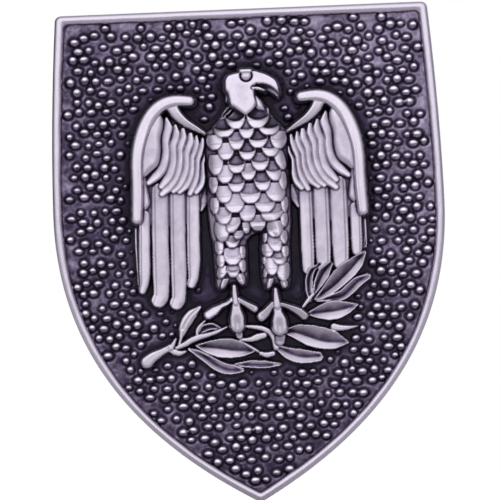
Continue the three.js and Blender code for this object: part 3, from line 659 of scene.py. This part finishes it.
def grid_mesh(name, canvas, keep, values, closed):
    """A mesh of the kept cells of a canvas; closed adds a flat back and side walls."""
    rows, cols = keep.shape
    j, i = np.nonzero(keep)
    stride = canvas.x.size
    corner = j * stride + i
    quads = np.stack([corner, corner + 1, corner + stride + 1, corner + stride], 1)
    used, flat = np.unique(quads, return_inverse=True)
    quads = flat.reshape(quads.shape)
    gx, gz = np.meshgrid(canvas.x, canvas.z)
    front = np.stack([gx.ravel()[used], FIELD_Y - canvas.h.ravel()[used], gz.ravel()[used]], 1)
    verts, polish_and_shade = front, values.ravel()[used]
    if closed:
        back = front.copy()
        back[:, 1] = FIELD_Y + BURIED
        count = len(used)
        padded = np.pad(keep, 1)
        walls = []
        for (dj, di), (a, b) in {(-1, 0): (0, 1), (0, 1): (1, 2), (1, 0): (2, 3), (0, -1): (3, 0)}.items():
            lone = ~padded[1 + dj : 1 + dj + rows, 1 + di : 1 + di + cols][j, i]
            p, q = quads[lone, a], quads[lone, b]
            walls.append(np.stack([q, p, p + count, q + count], 1))
        quads = np.vstack([quads, quads[:, ::-1] + count, *walls])
        verts = np.vstack([front, back])
        polish_and_shade = np.concatenate([polish_and_shade, np.zeros(count)])
    mesh = bpy.data.meshes.new(name)
    mesh.vertices.add(len(verts))
    mesh.vertices.foreach_set("co", (verts * MM).ravel())
    mesh.loops.add(quads.size)
    mesh.loops.foreach_set("vertex_index", quads.ravel())
    mesh.polygons.add(len(quads))
    mesh.polygons.foreach_set("loop_start", np.arange(0, quads.size, 4))
    mesh.polygons.foreach_set("use_smooth", np.ones(len(quads), dtype=bool))
    mesh.attributes.new("polish_and_shade", "FLOAT", "POINT").data.foreach_set("value", polish_and_shade)
    mesh.update(calc_edges=True)
    mesh.validate()
    return mesh


def draft(canvas, slope, reach):
    """Gives every edge the steep, blackened flank of a struck relief, out to a reach in mm."""
    neighbours = ((0, 1), (0, -1), (1, 0), (-1, 0), (1, 1), (1, -1), (-1, 1), (-1, -1))
    for _ in range(round(reach / canvas.step)):
        for shift in neighbours:
            near = np.roll(canvas.h, shift, (0, 1)) - slope * canvas.step * math.hypot(*shift)
            higher = (near > canvas.h) & (near > SUNK)
            canvas.h[higher] = near[higher]
            bare = higher & (canvas.owner < 0)
            canvas.owner[bare] = np.roll(canvas.owner, shift, (0, 1))[bare]
            stain_and_shade = np.roll(canvas.stain_and_shade, shift, (0, 1))[higher]
            canvas.stain_and_shade[higher] = np.maximum(stain_and_shade, FLANK_STAIN)


def polish_map(height, step):
    """How bright each point is rubbed, 0 in the blackened recesses to 1 on the crests."""
    fine = height - soften(height, 0.13 / step)
    broad = height - soften(height, 0.55 / step)
    wide = height - soften(height, 1.6 / step)
    return np.clip(0.55 + 2.6 * fine + 0.7 * broad + 0.22 * wide, 0, 1)


def corners_of(values):
    """The values at the four corners of every cell of a grid."""
    return [values[:-1, :-1], values[1:, :-1], values[:-1, 1:], values[1:, 1:]]


def cell_max(values):
    return np.maximum.reduce(corners_of(values))


def cell_min(values):
    return np.minimum.reduce(corners_of(values))


def make_relief():
    """The eagle, the laurel and the field, from one painted canvas."""
    relief = Canvas(RELIEF_STEP)
    paint_primaries(relief, -1, WING_LEFT, (-3.4, -4.6, -4.9, -3.0))
    paint_primaries(relief, 1, WING_RIGHT, (-0.3, -1.6, -1.8, -2.0))
    paint_laurel(relief)
    paint_wing(relief, -1, WING_LEFT)
    paint_wing(relief, 1, WING_RIGHT)
    paint_body(relief)
    paint_head(relief)
    paint_feet(relief)

    covered = soften((relief.owner >= 0).astype(float), MOAT / RELIEF_STEP)
    draft(relief, FLANK_SLOPE, FLANK_REACH)
    places, radii = pellet_places(relief, covered)
    ground = Canvas(RELIEF_STEP)
    paint_field(ground, covered, places, radii)
    # The stains hold painted shade and painted highlights as well as blackening, and darken or brighten the
    # colour
    stain_and_shade = np.where(relief.owner >= 0, relief.stain_and_shade, ground.stain_and_shade)
    polish_and_shade = polish_map(np.maximum(relief.h, ground.h), RELIEF_STEP) - stain_and_shade

    owner = relief.owner[:-1, :-1]
    shown = cell_max(relief.h) > SUNK + 0.02
    for name, key in (("eagle_body", EAGLE), ("eagle_wing_left", WING_LEFT),
                      ("eagle_wing_right", WING_RIGHT), ("laurel_relief", LAUREL)):
        near = cell_max((relief.owner == key).astype(int)) > 0
        keep = shown & near & ((owner == key) | (owner < 0))
        obj = link(name, grid_mesh(name, relief, keep, polish_and_shade, closed=True))
        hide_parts("laurel_branch" if key == LAUREL else "eagle")
        obj.data.materials.append(RELIEF_SILVER)

    field = Canvas(FIELD_STEP)
    gx, gz = np.meshgrid(field.x, field.z)
    paint_field(field, relief.sample(covered, gx, gz), places, radii)
    inside = inside_outline(shield_outline(RIM_WIDTH - 0.12)[::3], gx, gz)
    hidden = soften((relief.owner >= 0).astype(float), 3.0)
    keep = (cell_min(inside) > 0) & (cell_min(relief.sample(hidden, gx, gz)) < 0.995)
    obj = link("field", grid_mesh("field", field, keep, relief.sample(polish_and_shade, gx, gz), closed=False))
    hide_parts("shield_plate")
    obj.data.materials.append(FIELD_SILVER)


# ------------------------------------------------------------------ materials


def nodes_of(material):
    material.use_nodes = True
    tree = material.node_tree
    tree.nodes.clear()

    def add(kind, inputs=None, **settings):
        node = tree.nodes.new(kind)
        for key, value in settings.items():
            setattr(node, key, value)
        for key, value in (inputs or {}).items():
            if isinstance(value, bpy.types.NodeSocket):
                tree.links.new(value, node.inputs[key])
            else:
                node.inputs[key].default_value = value
        return node

    return add


def ramp(add, value, stops):
    """A colour ramp through (position, grey or colour) stops."""
    node = add("ShaderNodeValToRGB", {"Fac": value})
    elements = node.color_ramp.elements
    while len(elements) < len(stops):
        elements.new(1.0)
    for element, (position, colour) in zip(elements, stops):
        element.position = position
        element.color = (*((colour,) * 3 if isinstance(colour, (int, float)) else colour), 1)
    return node.outputs["Color"]


def millimetres(add, stretch=(1, 1, 1)):
    """Object coordinates in millimetres."""
    where = add("ShaderNodeTexCoord").outputs["Object"]
    return add("ShaderNodeMapping", {"Vector": where, "Scale": [s / MM for s in stretch]}).outputs["Vector"]


def grain(add, scale, detail=3.0, stretch=(1, 1, 1), rough=0.55):
    settings = {"Vector": millimetres(add, stretch), "Scale": scale, "Detail": detail, "Roughness": rough}
    return add("ShaderNodeTexNoise", settings).outputs["Fac"]


def math_node(add, operation, a, b, c=0.0):
    return add("ShaderNodeMath", {0: a, 1: b, 2: c}, operation=operation).outputs[0]


def silver(name, lift, stops, rough, bump):
    """Antique silver: blackened where the polish attribute is low, rubbed bright where high; the attribute
    also holds painted shade and painted highlights.
    """
    material = bpy.data.materials.new(name)
    add = nodes_of(material)
    rubbed_and_shaded = add("ShaderNodeAttribute", attribute_name="polish_and_shade").outputs["Fac"]
    cloud = math_node(add, "MULTIPLY_ADD", grain(add, 0.9, 5), 0.42, lift - 0.21)
    speck = math_node(add, "MULTIPLY_ADD", grain(add, 5.0, 2), 0.16, -0.08)
    state = math_node(add, "ADD", math_node(add, "ADD", rubbed_and_shaded, cloud), speck)
    colour = ramp(add, state, stops)
    gloss = ramp(add, state, rough)
    brush = grain(add, 3.0, 3, stretch=(3.0, 1, 0.35))
    pits = grain(add, 9.0, 2)
    texture = math_node(add, "ADD", math_node(add, "MULTIPLY", brush, 0.6),
                        math_node(add, "MULTIPLY", pits, 0.5))
    relief = add("ShaderNodeBump", {"Strength": bump, "Distance": 0.02 * MM, "Height": texture})
    wear = math_node(add, "MULTIPLY", grain(add, 2.4, 4, stretch=(2.2, 1, 0.5)), 0.22)
    roughness = math_node(add, "ADD", gloss, math_node(add, "SUBTRACT", wear, 0.11))
    shader = add("ShaderNodeBsdfPrincipled", {
        "Base Color": colour, "Roughness": roughness, "Normal": relief.outputs["Normal"],
        "Metallic": ramp(add, state, [(0.0, 0.6), (0.4, 1.0), (1.0, 1.0)]),
    })
    add("ShaderNodeOutputMaterial", {"Surface": shader.outputs["BSDF"]})
    return material


RELIEF_SILVER = silver(
    "antique_silver_relief", 0.1,
    [(0.08, (0.010, 0.007, 0.016)), (0.3, (0.115, 0.090, 0.155)), (0.54, (0.43, 0.375, 0.49)),
     (0.85, (0.66, 0.60, 0.72))],
    [(0.1, 0.55), (0.5, 0.42), (0.9, 0.3)], 0.35,
)
FIELD_SILVER = silver(
    "antique_silver_field", -0.03,
    [(0.14, (0.016, 0.011, 0.026)), (0.44, (0.068, 0.050, 0.098)), (0.66, (0.34, 0.285, 0.41)),
     (0.95, (0.86, 0.80, 0.92))],
    [(0.1, 0.55), (0.5, 0.42), (0.9, 0.27)], 0.5,
)
RIM_SILVER = silver(
    "antique_silver_rim", 0.1,
    [(0.15, (0.012, 0.009, 0.016)), (0.4, (0.10, 0.080, 0.13)), (0.6, (0.40, 0.345, 0.46)),
     (0.9, (0.62, 0.56, 0.68))],
    [(0.1, 0.5), (0.5, 0.4), (0.9, 0.28)], 0.4,
)


def plain_metal(name, colour, tarnish, rough, scale=0.8, bump=0.2, stretch=(1, 1, 1)):
    """A worn sheet or wire metal: colour drifting to tarnish, with fine marks."""
    material = bpy.data.materials.new(name)
    add = nodes_of(material)
    drift = ramp(add, grain(add, scale, 5), [(0.3, 0.0), (0.75, 1.0)])
    mix = add("ShaderNodeMix", {"Factor": drift, 6: (*tarnish, 1), 7: (*colour, 1)}, data_type="RGBA")
    marks = grain(add, 6.0, 3, stretch=stretch)
    relief = add("ShaderNodeBump", {"Strength": bump, "Distance": 0.02 * MM, "Height": marks})
    wear = math_node(add, "MULTIPLY", grain(add, 1.7, 4), 0.3)
    roughness = math_node(add, "ADD", wear, rough - 0.15)
    shader = add("ShaderNodeBsdfPrincipled", {
        "Base Color": mix.outputs[2], "Metallic": 1.0, "Roughness": roughness,
        "Normal": relief.outputs["Normal"],
    })
    add("ShaderNodeOutputMaterial", {"Surface": shader.outputs["BSDF"]})
    return material


FINISH = {
    "field_silver": plain_metal("antique_silver_back", (0.44, 0.41, 0.47), (0.24, 0.215, 0.265), 0.4,
                                scale=0.35, bump=0.5),
    "clutch_brass": plain_metal("worn_brass", (0.80, 0.62, 0.30), (0.52, 0.36, 0.15), 0.3),
    "spring_nickel": plain_metal("bright_nickel", (0.72, 0.70, 0.66), (0.50, 0.47, 0.43), 0.26),
    "post_nickel": plain_metal("drawn_nickel", (0.70, 0.68, 0.65), (0.46, 0.43, 0.40), 0.3,
                               stretch=(1, 0.2, 1)),
    "rivet_brass": plain_metal("hammered_brass", (0.62, 0.47, 0.24), (0.26, 0.18, 0.09), 0.4, bump=0.5),
    "solder": plain_metal("grey_solder", (0.48, 0.48, 0.50), (0.24, 0.24, 0.26), 0.45, bump=0.8),
}


# ------------------------------------------------------------------ plate


def skin(name, loops, polish_and_shade, ring=False):
    """A closed mesh over loops of equal point count; a ring joins the last loop to the
    first, and anything else is capped flat at both ends."""
    count = len(loops[0])
    verts = np.vstack(loops)
    faces = []
    for row in range(len(loops) - (not ring)):
        step = np.arange(count)
        a, b = row * count + step, row * count + (step + 1) % count
        after = (row + 1) % len(loops) * count
        faces += np.stack([a, after + step, after + (step + 1) % count, b], 1).tolist()
    if not ring:
        faces.append(list(range(count)))
        faces.append(list(range((len(loops) - 1) * count, len(loops) * count))[::-1])
    mesh = bpy.data.meshes.new(name)
    mesh.from_pydata((verts * MM).tolist(), [], faces)
    shell = bmesh.new()
    shell.from_mesh(mesh)
    bmesh.ops.recalc_face_normals(shell, faces=shell.faces)
    shell.to_mesh(mesh)
    shell.free()
    mesh.polygons.foreach_set("use_smooth", [True] * len(mesh.polygons))
    values = np.repeat(polish_and_shade, count)
    mesh.attributes.new("polish_and_shade", "FLOAT", "POINT").data.foreach_set("value", values)
    mesh.set_sharp_from_angle(angle=math.radians(40))
    mesh.validate()
    return mesh


def make_rim():
    """The plate's body: back, edge and the round bead, down to under the field."""
    crown = RIM_Y
    half = RIM_WIDTH / 2
    sections = [(0.95, BACK_Y - 0.3, 0.3), (0.6, BACK_Y - 0.03, 0.45), (0.28, BACK_Y, 0.5),
                (0.08, BACK_Y - 0.04, 0.5), (0.0, BACK_Y - 0.16, 0.45), (0.0, FIELD_Y + 0.3, 0.35),
                (0.02, FIELD_Y - 0.05, 0.3)]
    for k in range(11):
        angle = math.pi * (k / 10)
        bulge = math.sin(angle)
        sections.append((half * (1 - math.cos(angle)) + 0.02,
                         FIELD_Y - 0.12 + (crown - FIELD_Y + 0.12) * bulge**0.5,
                         0.28 + 0.72 * bulge))
    sections += [(RIM_WIDTH + 0.02, FIELD_Y + 0.05, 0.1), (RIM_WIDTH + 0.1, FIELD_Y + 0.2, 0.0)]
    loops = []
    for inset, y, _ in sections:
        flat = shield_outline(inset)
        wave = 0.035 * noise(flat[:, 0], flat[:, 1], 2.4, 21) * smooth((inset - 0.5) / 0.4)
        towards = -flat / np.hypot(flat[:, 0], flat[:, 1])[:, None]
        flat = flat + towards * wave[:, None]
        depth = y + 0.012 * noise(flat[:, 0], flat[:, 1], 1.6, 5) * (y < FIELD_Y)
        loops.append(np.stack([flat[:, 0], depth, flat[:, 1]], 1))
    obj = link("plate_rim", skin("plate_rim", loops, [p for _, _, p in sections]))
    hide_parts("shield_plate")
    obj.data.materials.append(RIM_SILVER)


# ------------------------------------------------------------------ fittings on the back

SHEET = 0.25  # the spring's sheet
SPRING_LOW = 4.65  # Y of its flat middle's face towards the cap
HALF_ACROSS, HALF_ALONG = 1.2, 1.6  # of the flat middle, across the jaws and along them
JAW_TO_TAB = [(0.68, 3.5), (1.35, 3.52), (1.75, 4.1), (1.9, 4.7), (2.3, 5.6), (3.3, 7.3), (4.2, 8.3),
              (4.7, 8.5)]
NECK_HALF = 1.5
TAB_HALF = 2.4
NECK_END = 5.5  # Y where a wing begins to widen
TAB_ROUND = 6.9  # and where its end begins to round
POST_HOLE_R = 0.95


def eased(profile, radius, closed=False):
    """The profile with its corners rounded; the ends of an open one stay."""
    points = [Vector(p) for p in profile]
    line = []
    for k, corner in enumerate(points):
        if not closed and k in (0, len(points) - 1):
            line.append(corner)
            continue
        before, after = points[k - 1] - corner, points[(k + 1) % len(points)] - corner
        a = corner + before.normalized() * min(radius, before.length * 0.45)
        b = corner + after.normalized() * min(radius, after.length * 0.45)
        line += [a * (1 - t) ** 2 + corner * 2 * t * (1 - t) + b * t**2 for t in (0, 0.25, 0.5, 0.75, 1)]
    return line


def turned(name, profile, middle, ring=False, wobble=0.0, count=96):
    """A mesh turned about a line along Y through middle; wobble makes it uneven, in mm."""
    angle = np.linspace(0, math.tau, count, endpoint=False)
    loops = []
    for radius, y in profile:
        x, z = radius * np.cos(angle), radius * np.sin(angle)
        uneven = wobble * noise(x, z + 3 * y, 0.8, 31)
        reach = 1 + uneven / max(radius, 0.3)
        loops.append(np.stack([middle.x + x * reach, y + uneven * 0.6 * (y > BACK_Y),
                               middle.z + z * reach], 1))
    return skin(name, loops, [0.5] * len(loops), ring)


def fitting(name, mesh, slot, body=BADGE, node=None):
    """Puts a mesh of the back in its node's place, with the finish of its material slot."""
    obj = link(f"{name}_formed", mesh, body)
    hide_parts(node or name)
    obj.data.materials.append(FINISH[slot])


def middle_of(node):
    low, high = box_mm(node)
    return (low + high) / 2


def make_rivets():
    """Peened heads on the back; the shanks end inside the devices."""
    for node in ("eagle_rivet_upper", "eagle_rivet_lower", "laurel_rivet_left", "laurel_rivet_right"):
        top = box_mm(node)[1].y
        profile = [(0.02, FIELD_Y - 0.2), (0.5, FIELD_Y - 0.2), (0.5, BACK_Y - 0.02), (1.0, BACK_Y - 0.02),
                   (0.97, BACK_Y + 0.16), (0.78, top - 0.1), (0.4, top - 0.03), (0.02, top - 0.05)]
        fitting(node, turned(node, eased(profile, 0.1), middle_of(node), wobble=0.035, count=64),
                "rivet_brass")


def make_posts():
    flange = BACK_Y + 0.4  # its free face
    for hand in HANDS:
        node = f"post_{hand}"
        middle, tip = middle_of(node), box_mm(node)[1].y
        profile = [(0.02, BACK_Y), (2.0, BACK_Y), (2.0, flange), (0.85, flange), (0.6, flange + 0.25),
                   (0.6, 5.5), (0.45, 5.65), (0.45, 6.15), (0.6, 6.3), (0.6, 7.0), (0.12, tip - 0.06),
                   (0.02, tip)]
        fitting(node, turned(node, eased(profile, 0.06), middle), "post_nickel")
        node = f"solder_fillet_{hand}"
        profile = [(1.98, BACK_Y - 0.05), (2.68, BACK_Y - 0.05), (2.66, BACK_Y + 0.05),
                   (2.4, BACK_Y + 0.12), (2.16, BACK_Y + 0.24), (2.06, BACK_Y + 0.31),
                   (1.98, BACK_Y + 0.29)]
        fitting(node, turned(node, eased(profile, 0.08, True), middle, ring=True, wobble=0.05), "solder")


def wing_mesh(name, middle, side):
    """One wing of the spring: a jaw beside the post, a bend, and a flared finger tab."""
    line = curve(JAW_TO_TAB, 10)
    along = np.gradient(line, axis=0)
    along /= np.hypot(*along.T)[:, None]
    length = np.concatenate([[0], np.cumsum(np.hypot(*np.diff(line, axis=0).T))])
    loops = []
    turn = np.linspace(-math.pi / 2, math.pi / 2, 9)
    for (a, y), (ta, ty), done in zip(line, along, length):
        half = NECK_HALF + (TAB_HALF - NECK_HALF) * smooth((y - NECK_END) / 1.4)
        if y > TAB_ROUND:
            half = TAB_HALF * (1 - (1 - math.sqrt(1 - (y - TAB_ROUND) / 2.1)) ** 2)
        for end in (done, length[-1] - done):
            half -= 0.4 * (1 - math.sqrt(1 - np.clip(1 - end / 0.5, 0, 1) ** 2))
        edge = SHEET / 2
        across = np.concatenate([half - edge + edge * np.cos(turn), -(half - edge) - edge * np.cos(turn)])
        through = np.concatenate([edge * np.sin(turn), -edge * np.sin(turn)])
        x = middle.x + side * (a - ty * through)
        loops.append(np.stack([x, y + ta * through, middle.z + across], 1))
    return skin(name, loops, [0.5] * len(loops))


def spring_mesh(name, middle):
    """The strip's flat middle, a rounded rectangle with the post's hole in it."""
    low, high = SPRING_LOW, SPRING_LOW + SHEET
    angle = np.linspace(0, math.tau, 96, endpoint=False)
    sharp = 14
    ratio = (np.abs(np.cos(angle)) / HALF_ACROSS) ** sharp
    ratio = ratio + (np.abs(np.sin(angle)) / HALF_ALONG) ** sharp
    outer = ratio ** (-1 / sharp)
    hole = POST_HOLE_R
    ease = 0.05
    loops = []
    for reach, y in ((hole, low + ease), (hole + ease, low), (outer - ease, low), (outer, low + ease),
                     (outer, high - ease), (outer - ease, high), (hole + ease, high), (hole, high - ease)):
        x, z = reach * np.cos(angle), reach * np.sin(angle)
        loops.append(np.stack([middle.x + x, y + 0 * x, middle.z + z], 1))
    return skin(name, loops, [0.5] * len(loops), ring=True)


def housing_mesh(name, middle):
    """The pressed drum with its flange, the post's hole and the two slots for the wings."""
    base, top, radius, wall = 2.95, 5.2, 3.5, 0.3
    inner, hole = radius - wall, POST_HOLE_R
    profile = [(inner, base), (radius + 0.8, base), (radius + 0.8, base + 0.25),
               (radius + 0.1, base + 0.28), (radius, top), (hole, top), (hole, top - wall),
               (inner, top - wall)]
    pressed = turned(name, eased(profile, 0.18, True), middle, ring=True, count=128)
    drum = in_scene(name, pressed)
    cutters = []
    for side in (-1, 1):
        bevel = 0.25
        slot = eased([(1.3, -1.65), (2.6, -1.65), (2.6, 1.65), (1.3, 1.65)], bevel, True)
        flat = np.array([(middle.x + side * a, middle.z + b) for a, b in slot])
        loops = [np.insert(flat, 1, y, axis=1) for y in (top - wall - 0.35, top + 0.3)]
        cutter = in_scene("cutter", skin("cutter", loops, [0.5, 0.5]))
        cut = drum.modifiers.new("slot", "BOOLEAN")
        cut.object = cutter
        cut.solver = "EXACT"
        cutters.append(cutter)
    mesh = bpy.data.meshes.new_from_object(drum.evaluated_get(bpy.context.evaluated_depsgraph_get()))
    for obj in (drum, *cutters):
        bpy.data.objects.remove(obj)
    mesh.name = name
    mesh.polygons.foreach_set("use_smooth", [True] * len(mesh.polygons))
    mesh.set_sharp_from_angle(angle=math.radians(35))
    return mesh


def make_clutches():
    for hand, outward in HANDS.items():
        body = f"clutch_{hand}"
        middle = middle_of(f"{body}_disc")
        low, high = 2.6, 2.85  # the disc's two faces
        profile = [(POST_HOLE_R, low), (5.2, low), (5.62, low + 0.12), (5.7, low + 0.4), (5.6, low + 0.6),
                   (5.4, low + 0.55), (5.38, low + 0.35), (5.1, high), (3.9, high), (3.7, high + 0.1),
                   (POST_HOLE_R, high + 0.1)]
        fitting(f"{body}_disc", turned(f"{body}_disc", eased(profile, 0.12, True), middle, ring=True,
                                       count=128), "clutch_brass", body)
        fitting(f"{body}_housing", housing_mesh(f"{body}_housing", middle), "clutch_brass", body)
        fitting(f"{body}_spring", spring_mesh(f"{body}_spring", middle), "spring_nickel", body)
        for which, side in (("outer", outward), ("inner", -outward)):
            node = f"{body}_wing_{which}"
            fitting(node, wing_mesh(node, middle, side), "spring_nickel", f"{body}_{which}")


TABLET_HALF = (3.5, 2.5)  # half width and half height


def make_back():
    """The plate's plain struck back and the blank tablet raised on it."""
    back = Canvas(0.24)
    gx, gz = np.meshgrid(back.x, back.z)
    inside = inside_outline(shield_outline(0.0)[::3], gx, gz)
    uneven = 0.035 * noise(gx, gz, 2.2, 51, 3) + 0.02 * noise(gx, gz, 0.7, 57)
    sunk_edge = 0.1 * (1 - smooth((inside - 0.3) / 0.4))
    depth = BACK_Y + (0.01 + uneven) * smooth((inside - 0.5) / 0.8) - sunk_edge
    back.h[:] = FIELD_Y - depth
    keep = cell_min(inside) > 0.2
    mesh = grid_mesh("plate_back", back, keep, np.full(back.h.shape, 0.5), closed=False)
    mesh.flip_normals()
    fitting("plate_back", mesh, "field_silver", node="shield_plate")

    loops = []
    for inset, y in ((-0.14, BACK_Y - 0.05), (-0.12, BACK_Y + 0.03), (-0.03, BACK_Y + 0.1),
                     (0.0, -0.16), (0.03, -0.06), (0.1, -0.01), (0.2, 0.0)):
        wide, high = TABLET_HALF[0] - inset, TABLET_HALF[1] - inset
        flat = np.array(eased([(-wide, -high), (wide, -high), (wide, high), (-wide, high)], 0.5, True))
        loops.append(np.insert(flat, 1, y, axis=1))
    fitting("tablet", skin("tablet", loops, [0.5] * len(loops)), "field_silver", node="shield_plate")


# ------------------------------------------------------------------ stage

# Each light's direction, then degrees off it and the brightness there
FRONT_AXIS = (-0.05, -1.0, 0.32)
FRONT_STOPS = [(0, 1.5), (24, 1.4), (42, 0.85), (60, 0.36), (78, 0.16), (100, 0.06), (180, 0.02)]
REAR_AXIS = (0.4, 0.85, 0.5)
REAR_STOPS = [(0, 0.9), (30, 0.75), (55, 0.3), (85, 0.06), (100, 0.0), (180, 0.0)]


def white_where_seen(add, otherwise, white_kind, output_kind):
    """Plain white to the camera's own rays, and another shader to all other light."""
    white = add(white_kind, {"Color": (1, 1, 1, 1), "Strength": 1.0}).outputs[0]
    seen = add("ShaderNodeLightPath").outputs["Is Camera Ray"]
    mixed = add("ShaderNodeMixShader", {0: seen, 1: otherwise, 2: white}).outputs[0]
    add(output_kind, {"Surface": mixed})


def make_stage():
    """Soft light from before and behind, and white where the camera looks past the badge."""
    world = bpy.data.worlds.new("surround")
    bpy.context.scene.world = world
    add = nodes_of(world)
    direction = add("ShaderNodeTexCoord").outputs["Generated"]
    front = lobe(add, direction, FRONT_AXIS, FRONT_STOPS)
    rear = lobe(add, direction, REAR_AXIS, REAR_STOPS)
    both = add("ShaderNodeMix", {"Factor": 1.0, 6: front, 7: rear}, data_type="RGBA",
               blend_type="ADD").outputs[2]
    soft = add("ShaderNodeBackground", {"Color": both, "Strength": 1.0}).outputs[0]
    white_where_seen(add, soft, "ShaderNodeBackground", "ShaderNodeOutputWorld")


def make_floor():
    """A plain pale floor just under the tip, which the camera sees as white as the background."""
    half = 0.6  # metres
    height = (TIP_Z - 0.5) * MM
    mesh = bpy.data.meshes.new("floor")
    corners = [(-half, -half, height), (half, -half, height), (half, half, height), (-half, half, height)]
    mesh.from_pydata(corners, [], [(0, 1, 2, 3)])
    floor = in_scene("floor", mesh)
    material = bpy.data.materials.new("pale_floor")
    add = nodes_of(material)
    matt = add("ShaderNodeBsdfDiffuse", {"Color": (0.8, 0.8, 0.8, 1)}).outputs[0]
    white_where_seen(add, matt, "ShaderNodeEmission", "ShaderNodeOutputMaterial")
    mesh.materials.append(material)


def lobe(add, direction, axis, stops):
    """Light from round an axis: stops are degrees off the axis and the brightness there."""
    aim = Vector(axis).normalized()
    dot = add("ShaderNodeVectorMath", {0: direction, 1: aim}, operation="DOT_PRODUCT").outputs["Value"]
    angle = math_node(add, "DIVIDE", math_node(add, "ARCCOSINE", dot, 0.0), math.pi)
    return ramp(add, angle, [(degrees / 180, value) for degrees, value in stops])


def make_camera():
    """Square on to the badge, which stands 2.4 degrees anticlockwise in the picture."""
    frame_size = 50 * MM
    data = bpy.data.cameras.new("camera")
    data.lens = 135
    data.sensor_width = 36
    camera = in_scene("camera", data)
    distance = frame_size * data.lens / data.sensor_width
    camera.matrix_world = (
        Matrix.Translation((-0.06 * MM, FIELD_Y * MM - distance, 0.49 * MM))
        @ Matrix.Rotation(math.radians(90), 4, "X")
        @ Matrix.Rotation(math.radians(-2.36), 4, "Z")
    )
    data.clip_start = 0.01
    bpy.context.scene.camera = camera


make_camera()
make_stage()
make_floor()
make_rim()
make_relief()
make_back()
make_rivets()
make_posts()
make_clutches()
bpy.context.scene.view_settings.view_transform = "Standard"
